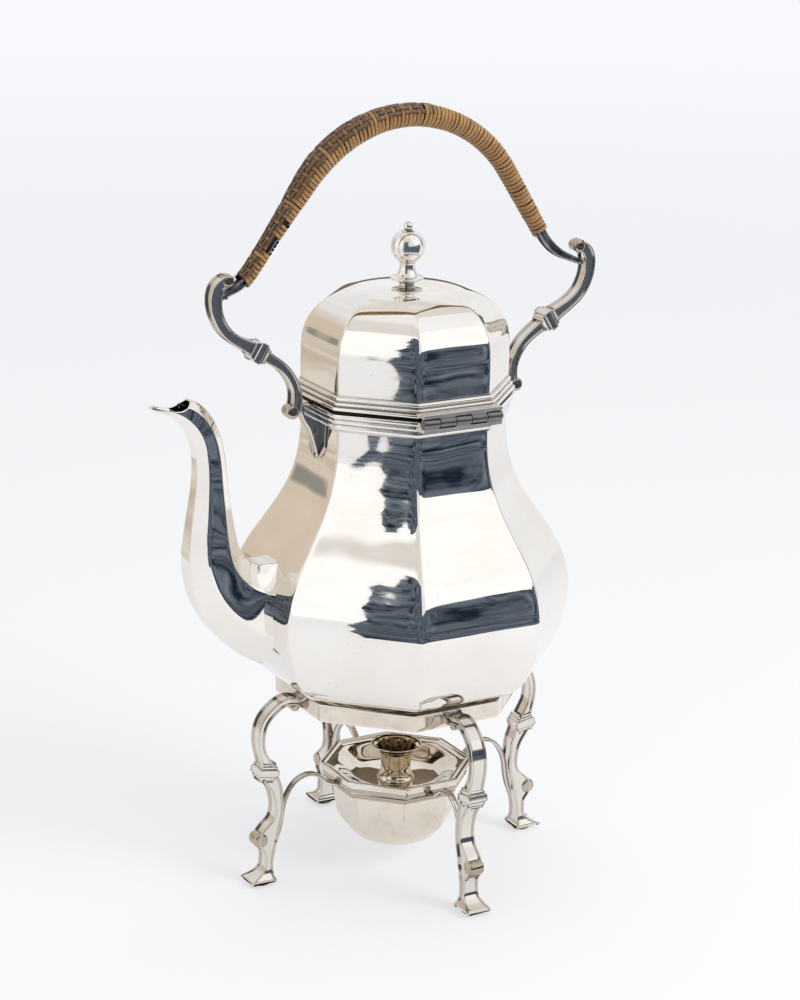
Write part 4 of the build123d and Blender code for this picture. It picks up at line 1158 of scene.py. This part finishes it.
def winding():
    """One strand wound over the whole grip, with its tint, its dirt and painted shade, and its fibre
    values.
    """
    total = int((cane_end - cane_start) / PITCH * TURN_POINTS)
    wobble = chance.normal(0.0, 1.0, total // TURN_POINTS + 3)
    tone = np.clip(chance.normal(0.40, 0.30, total // TURN_POINTS + 3), 0, 1)
    rings, tints, dirt_and_shade_values, fibres, kept = [], [], [], [], []
    for i in range(total):
        turns = i / TURN_POINTS
        angle = 2 * math.pi * (turns % 1.0)
        turn = int(turns)
        part = turns - turn
        lean = wobble[turn] * (1 - part) + wobble[turn + 1] * part
        run = cane_start + PITCH * (turns + 0.07 * lean)
        up = raised(run, angle, turn)
        half = PITCH * 0.5 * (0.97 - 0.04 * abs(lean))
        radius = sleeve(run) - STRAND * 0.85 + STRAND * (0.62 * up + WOUND_CROWN * 0.72) + 0.06 * lean
        rings.append(on_bar(run + half * WOUND_ACROSS, angle, radius))
        own_tone = tone[turn] * (1 - part) + tone[turn + 1] * part
        share, side = run / bar_length, math.remainder(angle, 2 * math.pi)
        woven = run < WOVEN_END and abs(side) < WOVEN_SIDE
        # In the woven part: darker with age, and painted shade where the winding passes under lengthwise
        # strands.
        age_and_shade = (0.58 - (0.30 + 0.25 * tone[turn]) * up) * (0.6 + 0.4 * tone[turn + 1]) if woven else 0.0
        tints += [0.5 * own_tone + (0.35 - 0.35 * plain_turn(turn)) * woven] * 6
        dirt_and_shade_values += [min(1.0, age_and_shade + d) for d in WOUND_EDGE_SHADE]
        fibres += [(run, a * 7.0, turns * 3.0) for a in WOUND_ACROSS]
        kept.append(not any(a < share < b and c < side < d for a, b, c, d in WORN_GAPS))
    faces = []
    for i in range(total - 1):
        if kept[i] and kept[i + 1]:
            faces += [(6 * i + j, 6 * i + j + 1, 6 * i + j + 7, 6 * i + j + 6) for j in range(5)]
            faces.append((6 * i + 5, 6 * i, 6 * i + 6, 6 * i + 11))
    return (np.concatenate(rings), faces), tints, dirt_and_shade_values, fibres


def cane_piece(name, shape, tints, dirt_and_shade_values, fibres, stands_for=()):
    """Piece of cane with its three stored values."""
    made = piece(name, shape, cane_finish, "kettle", stands_for, slot="cane", crease=75)
    store(made, "tint", tints)
    store(made, "dirt_and_shade", dirt_and_shade_values)
    store(made, "fibre", fibres, vector=True)


cane_piece("cane_winding", *winding(), stands_for=["handle_cane"])

# %% [markdown]
# ## Lengthwise strands and the dark core
#
# The lengthwise strands are older and browner, and most of the dirt of a hand sits on them; they
# also get painted shade at their edges and where they dip under the winding. Under everything lies
# the core, a dark sleeve that closes the gaps between the strands: its near-black is painted shade
# for those gaps. Near the foot of the grip two bits of the winding are worn away, and the core shows
# there. A weave drawn as one sheet would be lighter, but each strand here needs its own dips, tint,
# dirt and painted shade.

# %% Lengthwise strands
RUNNER_STEP = 0.42
TONE_STEPS = 15
RUNNER_ACROSS = np.array([-1.0, -0.82, -0.3, 0.3, 0.82, 1.0]) * RUNNER_HALF * 0.97
RUNNER_CROWN = np.array([-0.8, 0.0, 0.36, 0.36, 0.0, -0.8])
# Painted shade at the strand's edges.
RUNNER_EDGE_SHADE = (0.64, 0.22, 0.0, 0.0, 0.22, 0.64)


def runner(k, middle):
    """One lengthwise strand that dips under every fourth turn of the winding."""
    steps = np.arange(cane_start + 1.2, WOVEN_END + chance.uniform(-14, 2), RUNNER_STEP)
    phase = middle / (2 * math.pi) % 1.0
    rings, tints, dirt_and_shade_values, fibres = [], [], [], []
    tone = chance.uniform(0.45, 1.0, int(len(steps) / TONE_STEPS) + 2)
    for run in steps:
        turns = (run - cane_start) / PITCH - phase
        nearest = round(turns)
        under = over(nearest, k) * max(0.0, 1.0 - (abs(turns - nearest) / 0.95) ** 2)
        radius = sleeve(run) + STRAND * (RUNNER_CROWN * 0.7 - 1.15 * under)
        rings.append(on_bar(np.full(6, run), middle + RUNNER_ACROSS, radius))
        cell = (run - cane_start) / (TONE_STEPS * RUNNER_STEP)
        tints += [np.interp(cell, np.arange(len(tone)), tone)] * 6
        # A hand's dirt, with painted shade where the strand dips under the winding and at its edges.
        dirt_and_shade_values += [min(1.0, 0.50 + 0.4 * under + d) for d in RUNNER_EDGE_SHADE]
        fibres += [(run * 0.25, a * 40.0, k * 5.0) for a in RUNNER_ACROSS]
    return skin(rings, (True, True)), tints, dirt_and_shade_values, fibres


shapes, tints, dirt_and_shade_values, fibres = zip(*[runner(k, middle) for k, middle in enumerate(RUNNERS)])
cane_piece("cane_lengthwise", joined(*shapes), sum(tints, []), sum(dirt_and_shade_values, []), sum(fibres, []))

# Dark core: painted shade in the gaps between the strands and in the worn bits.
core_runs = np.arange(cane_start + 0.6, cane_end - 0.6, 1.5)
core = skin([on_bar(np.full(32, run), circle_angles(32), sleeve(run) - 2.0 * STRAND)
             for run in core_runs], (True, True))
piece("cane_core", core, core_painted_shade, "kettle", slot="cane")

# %% [markdown]
# ## The stand's ring
#
# The stand's band is an eight-sided hoop with a bead along its top and a ledge inside, on which
# the kettle's foot rests. A plain ring cut by an octagon would need a boolean. One closed outline
# carried round by the octagon formula does it all, and as the ledge's opening is round, the
# crispness changes on the way in.

# %% Stand ring
ring_low, ring_high = size("stand_ring")
RING_LIP = ring_high[0] / FLAT
RING = RING_LIP - 0.53
STAND_TOP = ring_high[2]
LEDGE_TOP = STAND_TOP - 0.7
LEDGE_HOLE = 45.5
bead_rows = rounded_off([(RING, ring_low[2] + 0.3), (RING, STAND_TOP - 1.9)]
                        + placed([(0.0, -1.5), (0.0, -0.2), (-0.5, 0.0)], RING_LIP, STAND_TOP)
                        + [(RING - 0.9, STAND_TOP)], 1)
ring_rows = crisp([(RING - 0.3, ring_low[2])]) + crisp(bead_rows)
ring_rows += crisp([(RING - 1.6, STAND_TOP - 0.2), (RING - 1.7, LEDGE_TOP)])
ring_rows += [(LEDGE_HOLE, LEDGE_TOP, ROUND), (LEDGE_HOLE, LEDGE_TOP - 1.2, ROUND)]
ring_rows += crisp([(RING - 1.7, LEDGE_TOP - 1.2), (RING - 1.6, ring_low[2])])
piece("stand_hoop", panelled(ring_rows, looped=True), hoop_silver, "stand", ["stand_ring"], crease=45)

# %% [markdown]
# ## Four scrolled legs
#
# Each leg is cast in one: a curled top soldered to the hoop, a C-curve, a square knop, an S-curve
# with a knee scroll, and a spade foot on a small button. Sculpting would give a livelier casting,
# but four legs have to be alike. So the leg on the +X side is built once from straps, rolls and a
# knop, and turned to the four quarters.

# %% Legs
LEG_HALF = 4.1
FACE = RING * FLAT
TOE = 82.6


def lower_leg(shaft, ankle):
    """S-curve that runs on into a spade foot, flared from the ankle to a thin pad on a button."""
    middle = (ankle - 3.2 + TOE) / 2
    flare = through([(ankle - 0.1, 9.6, 2.3, 4.1), (ankle + 0.4, 7.8, 2.6, 4.3),
                     (ankle + 1.1, 6.2, 3.3, 4.8), (ankle + 2.2, 4.7, 4.6, 5.6),
                     (middle - 0.6, 3.7, 6.0, 6.3), (middle, 3.1, 6.8, 6.65), (middle, 2.5, 6.85, 6.65),
                     (middle - 0.1, 1.7, 6.1, 6.1)], 30)
    rings = strap_rings(shaft, 90) + [level_section(*row, STRAP_CORNER) for row in flare]
    button = rounded_off([(4.6, 1.8), (4.6, 0.5), (4.1, 0.0)], 1)
    disc, faces = spun(button, 40, capped=(True, True))
    return joined(skin(rings, (True, True)), (disc + np.array([middle - 1.0, 0, 0]), faces))


def leg_shape():
    """Whole leg, its points given from the hoop's face outward and from the hoop's top down."""
    curve = placed([(-0.2, -5.8, 2.1), (6.4, -4.5, 2.1), (13.2, -7.6, 2.1), (18.8, -13.6, 2.1),
                    (20.8, -21.0, 2.0), (19.9, -29.2, 2.0), (18.0, -34.4, 2.8), (17.0, -38.4, 4.0)],
                   FACE, STAND_TOP, LEG_HALF)
    shaft = placed([(16.0, -41.0, 4.4), (14.4, -44.4, 3.6), (12.6, -48.2, 3.1), (11.3, -54.0, 2.5),
                    (10.9, -60.0, 2.4), (12.2, -66.0, 2.9), (15.2, -71.2, 4.6), (16.6, -75.4, 5.2),
                    (15.9, -80.4, 3.2), (16.0, -84.6, 2.3), (16.2, -87.2, 2.25)],
                   FACE, STAND_TOP, LEG_HALF)
    curl, knee, block = placed([(2.4, -8.0, 2.3), (20.4, -74.4, 3.7), (17.0, -39.4)], FACE, STAND_TOP)
    return joined(strap(curve, rows=70), lower_leg(shaft, FACE + 16.2), roll(*curl, LEG_HALF - 0.1),
                  roll(*knee, LEG_HALF - 0.1), knop(*block, -80, 10.8, 10.6))


on_sides(QUARTERS, "leg_scroll", "leg", leg_shape(), "stand", crease=38, edge=0.32)

# %% [markdown]
# ## Lamp ring and its brackets
#
# Four thin S-straps run from the legs to a moulded ring, which holds the lamp by its rim. A curve
# with a bevel would make the straps, but they use the same strap helper as the legs, so that they
# meet the legs with the same rounded corners. The ring is a closed outline like the stand's.

# %% Lamp ring and brackets
lamp_ring_low, lamp_ring_high = size("lamp_ring")
LAMP_SEAT = lamp_ring_high[2]
HOLD = lamp_ring_high[0] / FLAT
bowl_low, bowl_high = size("lamp_bowl")
BOWL = bowl_high[0] / FLAT
low = lamp_ring_low[2]
ring_line = rounded_off([(HOLD, LAMP_SEAT)] + placed(
    [(0.0, 4.0), (-1.0, 3.4), (-0.4, 2.6), (-0.6, 1.6), (-1.6, 1.0), (-1.6, 0.0)], HOLD, low))
lamp_ring_rows = crisp(ring_line) + crisp([(BOWL + 0.7, low), (BOWL + 0.7, LAMP_SEAT)])
piece("lamp_hoop", panelled(lamp_ring_rows, looped=True), cast_silver, "stand", ["lamp_ring"],
      crease=45)

BRACKET_THICK = 0.95
BRACKET_HALF = 1.7
BRACKET_LINE = [(65.3, -21.4), (63.8, -14.9), (62.9, -8.9), (60.6, -2.6), (56.0, 2.9), (50.0, 5.0),
                (44.2, 3.5), (39.6, -0.2), (HOLD * FLAT - 0.6, -2.6)]


def bracket_shape():
    """S-strap from inside the leg, where it is thinner, to the lamp ring."""
    root = placed([(67.2, -27.4, 0.5)], 0.0, LAMP_SEAT, BRACKET_HALF)
    line = root + placed(BRACKET_LINE, 0.0, LAMP_SEAT, BRACKET_THICK, BRACKET_HALF)
    return strap(line, rows=70, corner=0.7)


on_sides(QUARTERS, "bracket", "lamp_bracket", bracket_shape(), "stand", crease=50)

# %% [markdown]
# ## The spirit lamp
#
# The lamp's cover has a stepped octagonal rim and a round dish, and its bowl has eight flats that
# die away into a round bottom. Two forms fused would leave a seam where octagon and circle meet,
# so both pieces use the crispness of the octagon formula, which fades from one to the other.

# %% Lamp cover and bowl
cover_high = size("lamp_cover")[1]
LAMP = cover_high[0] / FLAT
LAMP_TOP = cover_high[2]
DISH_FLOOR = LAMP_TOP - 9.2
rim_line = rounded_off([(LAMP - 1.2, LAMP_SEAT)] + placed(
    [(-1.2, -1.8), (-0.2, -1.7), (0.0, -1.3), (0.0, -0.3), (-0.3, 0.0), (-2.2, 0.0), (-2.8, -0.5)],
    LAMP, LAMP_TOP), 1)
dish = through(placed([(34.4, -0.9), (30.6, -1.8), (27.4, -3.4), (25.4, -4.6), (21.5, -7.0)],
                      0.0, LAMP_TOP)
               + [(16.0, DISH_FLOOR + 0.9), (7.2, DISH_FLOOR)], 44)
cover_rows = crisp(rim_line)
cover_rows += [(r * (FLAT if r > 33 else 1.0), z, fading(r, 30.0, 34.5)) for r, z in dish]
cover_rows += placed([(7.2, -0.9), (16.3, -0.2), (22.1, 1.8), (26.2, 4.3)], 0.0, DISH_FLOOR, ROUND)
cover_rows += [(28.0, LAMP_SEAT, ROUND)]
piece("lamp_dish", panelled(cover_rows, looped=True), dish_silver, "lamp", ["lamp_cover"], crease=50)

BOWL_LINE = [(0.3, 0.0), (9.9, 0.0), (15.2, 1.1), (19.6, 3.3), (23.6, 7.2), (26.6, 13.2),
             (28.1, 20.7), (28.6, 29.0), (BOWL * FLAT, 36.9)]


def bowl_rows(inset):
    """Rows from the bowl's bottom up to its mouth, moved in by 'inset'."""
    line = moved_in(through(BOWL_LINE, 60)[::-1], inset)[::-1] if inset else through(BOWL_LINE, 60)
    return [(max(r, 0.05), bowl_low[2] + up, fading(up, 0.5, 19.0)) for r, up in line]


piece("lamp_bowl_sheet", panelled(bowl_rows(0.0) + bowl_rows(FINE_SHEET)[::-1]), lamp_silver, "lamp",
      ["lamp_bowl"], crease=50)

# %% [markdown]
# ## The burner and its wick
#
# A spool-shaped holder with a trumpet mouth stands in the dish and carries the wick, a bundle of
# cotton strands. The spool is turned, so its half outline is spun, and its bore is a skin of its
# own, black with soot. The wick could be a plug with a picture of threads, but its ragged top is
# seen against the light, so each strand is a lobed cord that leans out and is shorter and darker
# on one side, with painted shade in its grooves and at its foot.

# %% Burner and wick
holder_low, holder_high = size("wick_holder")
MOUTH_TOP = holder_high[2] - 1.1
TRUMPET = 12.7
TUBE = 7.4
BORE = 6.6
spool = rounded_off([(TUBE - 0.6, holder_low[2])] + placed(
    [(-0.6, 0.0), (2.0, 0.0), (2.0, 0.8), (0.9, 2.0), (0.1, 5.0), (0.0, 10.5), (0.6, 13.8),
     (2.4, 16.6)], TUBE, DISH_FLOOR) + placed(
    [(-0.1, -0.8), (0.1, -0.3), (-0.2, 0.0), (-0.7, -0.1), (-1.0, -0.6)], TRUMPET, MOUTH_TOP))
bore = rounded_off(placed([(-1.0, -0.6), (-1.5, -1.6)], TRUMPET, MOUTH_TOP)
                   + placed([(1.8, 16.0), (0.2, 12.6)], TUBE, DISH_FLOOR)
                   + [(BORE, DISH_FLOOR + 9.5), (BORE, holder_low[2])])
piece("burner_spool", spun(spool), spool_silver, "burner", ["wick_holder"], crease=45)
piece("burner_bore", spun(bore), soot, "burner", crease=45)

# Strands toward this side are shorter and darker.
DARK_SIDE = math.radians(240.0)
OUTER_RING = 4.4
STRAND_PLACES = [(0.0, 0.0)] + [(2.3, a) for a in range(0, 360, 60)] \
    + [(OUTER_RING, a) for a in range(12, 372, 24)]


def wick_strand(reach, start_angle):
    """One wavy cord that leans out at its top, and its tints: painted shade in grooves and at the foot, a
    darker side, a singed tip.
    """
    low_end, high_end = size("wick")
    turn = math.radians(start_angle) + chance.uniform(-0.12, 0.12)
    dark_side_share = 0.5 + 0.5 * math.cos(turn - DARK_SIDE) * reach / OUTER_RING
    top = high_end[2] - 0.6 - 11.0 * max(0.0, dark_side_share - 0.35) ** 1.2 - chance.uniform(0.0, 1.0)
    angles = circle_angles(14)
    rings, tints = [], []
    for z in np.linspace(low_end[2], top, 26):
        lean = reach * (1.0 + (1.25 - 0.5 * dark_side_share) * max(0.0, (z - DISH_FLOOR - 9.0) / 10.0) ** 1.5)
        swing = 0.25 * math.sin(z * 0.9 + start_angle)
        thick = 1.2 if z < top - 0.1 else 0.85
        lobe = np.cos(5 * angles + z * 1.6)
        rings.append(level_ring(angles, thick * (1.0 + 0.13 * lobe), z,
                                lean * math.cos(turn) + swing, lean * math.sin(turn) - swing))
        side_and_tip_dark = 2.2 * max(0.0, dark_side_share - 0.25) + 0.25 * (z > top - 1.0)
        shade = max(0.0, (top - z - 1.0) / 2.2)
        # Painted shade in the cord's grooves and at its foot, over its singed tip and darker side.
        tints += list(np.clip(0.08 + 0.45 * (lobe < -0.3) + side_and_tip_dark + shade, 0, 1))
    return skin(rings, (True, True)), tints


shapes, tints = zip(*[wick_strand(*place) for place in STRAND_PLACES])
wick_bundle = piece("wick_bundle", joined(*shapes), wick_cotton, "burner", ["wick"], slot="wick")
# Its darkness: singed tips, a darker side and painted shade.
store(wick_bundle, "tint", sum(tints, []))

# %% [markdown]
# ## Small parts that stay as they are
#
# The hinge, the base plate and the fasteners have their right shape already, so building them
# again would only risk a misfit. They are given a finish, their split corners are welded, and a
# small bevel gives each edge its line of light.

# %% Kept parts
KEPT = {"kettle_base": fire_stained, "hinge_leaf_body": hinge_silver, "hinge_leaf_lid": hinge_silver,
        "hinge_pin": hinge_silver, "bar_rivets": bar_metal, "lid_flange": lid_silver,
        "finial_nut": trim_silver}
WELD_REACH = 0.000002
for name, finish in KEPT.items():
    kept = nodes[name]
    kept.data.materials.clear()
    kept.data.materials.append(finish)
    weld = kept.modifiers.new("welded_corners", "WELD")
    weld.merge_threshold = WELD_REACH
    soften(kept, 0.16, 35)
print("kept parts:", len(KEPT))

# %% [markdown]
# ## Table, tent and light
#
# Polished silver shows the room more than itself. The kettle stands on a white table inside a
# photographer's tent: white cloth windows, a warm patch and a grey roof, with a gap on the
# camera's side where the dark room shows. Tent and boards are seen only in reflections, so the
# background stays plain white: the world and the far table are white to rays that come from the
# camera or from a mirror, and softer to the light itself. A bought studio image could light the
# silver too, but boards can be placed to give each panel its own dark shape.

# %% Floor and world
bpy.context.scene.view_settings.view_transform = "Standard"
CLOTH_WHITE = (0.942, 0.950, 0.985, 1.0)


def mirror_only(made):
    """A board that shows in reflections and nowhere else."""
    made.visible_camera = False
    made.visible_diffuse = False
    made.visible_shadow = False
    made.visible_transmission = False
    made.visible_volume_scatter = False


def stage_mesh(name, points, faces, finish):
    """Mesh of the stage, in metres, which is no part of the kettle."""
    mesh = bpy.data.meshes.new(name)
    mesh.from_pydata([tuple(p) for p in points], [], faces)
    mesh.materials.append(finish)
    made = bpy.data.objects.new(name, mesh)
    bpy.context.scene.collection.objects.link(made)
    print(f"{name}: {len(faces)} faces of stage")
    return made


def seen_rays(tree):
    """1 for rays from the camera and for mirrored and passing rays, else 0."""
    rays = node(tree, "LightPath").outputs
    seen = maths(tree, "MAXIMUM", rays["Is Camera Ray"], rays["Is Glossy Ray"])
    return maths(tree, "MAXIMUM", seen, rays["Is Transmission Ray"])


def either(tree, share, first, second):
    """Shader between first and second."""
    return node(tree, "MixShader", links={0: share, 1: first.outputs[0], 2: second.outputs[0]})


GLOW_END, WHITE_START = 0.3, 3.2  # distances from the kettle between which the glow turns white


def paper_floor():
    """White table: paper with a glow near the kettle, plain white like the world farther out."""
    finish, tree = new_finish("floor_paper")
    paper = node(tree, "BsdfDiffuse", {"Color": (0.37, 0.37, 0.37, 1.0)})
    glow = node(tree, "Emission", {"Color": (0.975, 0.98, 1.0, 1.0), "Strength": 0.600})
    lit = node(tree, "AddShader", links={0: paper.outputs[0], 1: glow.outputs[0]})
    far = node(tree, "Emission", {"Color": CLOTH_WHITE, "Strength": 1.0})
    place = node(tree, "TexCoord").outputs["Object"]
    reach = node(tree, "VectorMath", operation="LENGTH", links={0: place}).outputs["Value"]
    fade = node(tree, "MapRange", {"From Min": GLOW_END, "From Max": WHITE_START}, {"Value": reach},
                interpolation_type="SMOOTHSTEP").outputs["Result"]
    plain = node(tree, "BsdfDiffuse", {"Color": (0.86, 0.86, 0.86, 1.0)})
    return showing(finish, either(tree, seen_rays(tree), plain, either(tree, fade, lit, far)))


FLOOR = 12.0
stage_mesh("floor", [(-FLOOR, -FLOOR, 0), (FLOOR, -FLOOR, 0), (FLOOR, FLOOR, 0), (-FLOOR, FLOOR, 0)],
           [(0, 1, 2, 3)], paper_floor())

world = bpy.data.worlds.new("white_tent")
bpy.context.scene.world = world
world.use_nodes = True
tree = world.node_tree
tree.nodes.clear()
soft = node(tree, "Background", {"Color": (0.93, 0.95, 1.0, 1.0), "Strength": 0.55})
bright = node(tree, "Background", {"Color": CLOTH_WHITE, "Strength": 1.0})
out = node(tree, "OutputWorld")
choice = either(tree, seen_rays(tree), soft, bright)
tree.links.new(choice.outputs[0], out.inputs["Surface"])
print("world:", world.name)

# %% [markdown]
# ## Lamps
#
# Three softboxes give the shadow on the table its direction: the main one at the right in front,
# and weak ones above and at the left. Their own mirror images would be small bright squares on
# the silver, so they are kept out of reflections, and the tent's windows are seen instead.

# %% Lamps
AIM_OF_LIGHT = Vector((0, 0, 0.15))


def soft_lamp(name, place, across, power, colour):
    """Square softbox aimed at the kettle."""
    lamp = bpy.data.objects.new(name, bpy.data.lights.new(name, "AREA"))
    bpy.context.scene.collection.objects.link(lamp)
    lamp.data.shape = "SQUARE"
    lamp.data.size = across
    lamp.data.energy = power
    lamp.data.color = colour
    lamp.location = place
    lamp.rotation_euler = (AIM_OF_LIGHT - Vector(place)).to_track_quat("-Z", "Y").to_euler()
    lamp.visible_glossy = False


soft_lamp("softbox_right", (0.86, -1.30, 1.12), 0.9, 19.0, (1.0, 0.99, 0.97))
soft_lamp("softbox_above", (0.1, 0.3, 1.8), 1.0, 7.0, (1.0, 1.0, 1.0))
soft_lamp("softbox_left", (-1.5, -0.9, 1.1), 0.8, 2.5, (0.97, 0.98, 1.0))

# %% [markdown]
# ## The tent
#
# Round the table stands a cloth tent, seen only in the silver. It could be lit like real cloth,
# but then each change of a lamp would change the reflections too. So it is a dome that glows in a
# colour set point by point: a light grey cloth, and soft-edged patches on it, each given by its
# middle, its half size in degrees and the width of its edge.

# %% Tent
TENT = 7.0
CLOTH = (0.86, 0.87, 0.89)
PATCHES = [  # middle azimuth and elevation, half sizes, edge, colour
    (60, 70, 180, 26, 8, (0.80, 0.77, 0.725)),
    (180, 78, 90, 9, 6, (0.96, 0.95, 0.93)),
    (320, 55, 44, 22, 5, (1.02, 1.03, 1.06)),
    (28, 18, 42, 30, 8, (0.93, 0.935, 0.95)),
    (122, 4, 25, 22, 11, (0.70, 0.60, 0.49)),
    (122.3, 4.5, 1.3, 3.6, 0.6, (0.30, 0.29, 0.26)),
    (181, 20, 34, 26.1, 1.0, (1.15, 1.15, 1.15)),
    (316, 31, 27, 16, 1.5, (1.15, 1.15, 1.15)),
    (355, 8, 7, 18, 3, (0.40, 0.40, 0.42)),
]


def board_finish(name, dark, light, scale):
    """Glowing cloth, cloudy between two tones."""
    finish, tree = new_finish(name)
    clouds = noise(tree, own_place(tree, 0.3, (1.0, 1.0, 0.22)), scale, 6.0, 0.62)
    return showing(finish, node(tree, "Emission", {"Strength": 1.0},
                                {"Color": mixed(tree, ramp(tree, clouds, 0.38, 0.72), dark, light)}))


def tent_finish():
    """Glowing cloth in the tones stored on the tent's points, with faint folds."""
    finish, tree = new_finish("tent_cloth")
    folds = ramp(tree, noise(tree, own_place(tree, 0.7, (1.0, 1.0, 0.35)), 2.4, 3.0), 0.3, 0.7, 0.95, 1.03)
    return showing(finish, node(tree, "Emission", links={"Color": stored(tree, "tone", "Vector"),
                                                         "Strength": folds}))


def tent_tones(azimuth, elevation):
    """Colour of the tent in each direction, patch over patch."""
    tones = np.tile(CLOTH, (len(azimuth), 1))
    for middle, level, half_across, half_up, edge, colour in PATCHES:
        beside = np.abs((azimuth - middle + 180) % 360 - 180) - half_across
        past = np.maximum(beside, np.abs(elevation - level) - half_up) / edge
        share = np.clip(0.5 - past, 0, 1)[:, None]
        tones = tones * (1 - share) + np.array(colour) * share
    return tones


def tent():
    """Dome of one point for each degree, open below, with its tones stored on the points."""
    azimuths, elevations = np.arange(0, 360, 1.0), np.arange(-2, 90.01, 1.0)
    across, up = np.meshgrid(azimuths, elevations)
    a, e = np.radians(across), np.radians(up)
    shape = skin(TENT * np.stack([np.cos(e) * np.cos(a), np.cos(e) * np.sin(a), np.sin(e)], axis=2))
    made = stage_mesh("tent", *shape, tent_finish())
    store(made, "tone", tent_tones(across.ravel(), up.ravel()), vector=True)
    mirror_only(made)


tent()

# %% [markdown]
# ## Boards of the room
#
# The dark shapes on real silver are the room behind the camera, and a brown wall beyond the
# kettle. One picture of a room would do for one view only, so they are boards that bend round the
# kettle half a metre or more away. Their edges are uneven and their cloth is cloudy, because a
# straight, even edge looks false in a mirror.

# %% Boards
ROWS, STEPS = 50, 80
LAST_ROWS = 5  # rows under a board's top edge that share its raggedness


def wave(t, phases):
    """Uneven line: three sines that don't repeat together."""
    return sum(math.sin(t * f + p) / f for f, p in zip((3, 7, 13), phases)) * 3


def curved_board(name, marks, finish, ragged=0.0):
    """Board bent round the kettle, through marks of (distance, level, first and last azimuth)."""
    marks = np.asarray(marks, float)
    at = np.linspace(0, len(marks) - 1, ROWS)
    line = np.stack([np.interp(at, np.arange(len(marks)), marks[:, c]) for c in range(4)], axis=1)
    phase = chance.uniform(0, 6.28, 8)
    points, faces = [], []
    for r, (reach, level, start, end) in enumerate(line):
        last = max(0.0, (r - ROWS + LAST_ROWS + 1) / LAST_ROWS) if level > 0.05 else 0.0
        for a in np.radians(np.linspace(start + ragged * wave(r * 0.16, phase), end, STEPS)):
            points.append((reach * math.cos(a), reach * math.sin(a),
                           level + 0.035 * ragged * last * wave(a * 9, phase[4:])))
    for a in range(0, (ROWS - 1) * STEPS, STEPS):
        faces += [(a + i, a + i + 1, a + STEPS + i + 1, a + STEPS + i) for i in range(STEPS - 1)]
    mirror_only(stage_mesh(name, points, faces, finish))


dark_room = board_finish("dark_room", (0.010, 0.016, 0.030, 1.0), (0.24, 0.29, 0.36, 1.0), 11.0)
COLUMN_EDGE = [(0.545, 0.003, 212.6), (0.8, 0.004, 210.6), (1.6, 0.01, 210.2), (5.0, 0.02, 210.2),
               (5.0, 0.6, 210.4), (5.0, 1.2, 210.3), (5.0, 2.0, 209.8), (5.0, 2.8, 208.9),
               (5.0, 3.5, 208.1), (5.0, 4.2, 207.2), (5.0, 4.65, 207.0)]
BAND_LINE = [(0.545, 0.003), (0.8, 0.004), (1.6, 0.01), (1.6, 0.3), (1.6, 0.61)]
curved_board("room_column", [(*mark, 246) for mark in COLUMN_EDGE], dark_room, ragged=0.22)
curved_board("room_band", [(*mark, 244, 332) for mark in BAND_LINE], dark_room, ragged=0.6)

brown_room = board_finish("brown_room", (0.075, 0.055, 0.038, 1.0), (0.25, 0.20, 0.145, 1.0), 4.0)
curved_board("brown_wall", [(0.50, level, 42, 72) for level in (0.15, 0.24, 0.33)], brown_room)

warm_cloth = board_finish("warm_cloth", (0.60, 0.51, 0.41, 1.0), (0.84, 0.79, 0.72, 1.0), 4.0)
curved_board("warm_floor", [(0.62, 0.003, 108, 142), (1.6, 0.004, 100, 146), (6.6, 0.02, 97, 147)],
             warm_cloth, ragged=0.8)
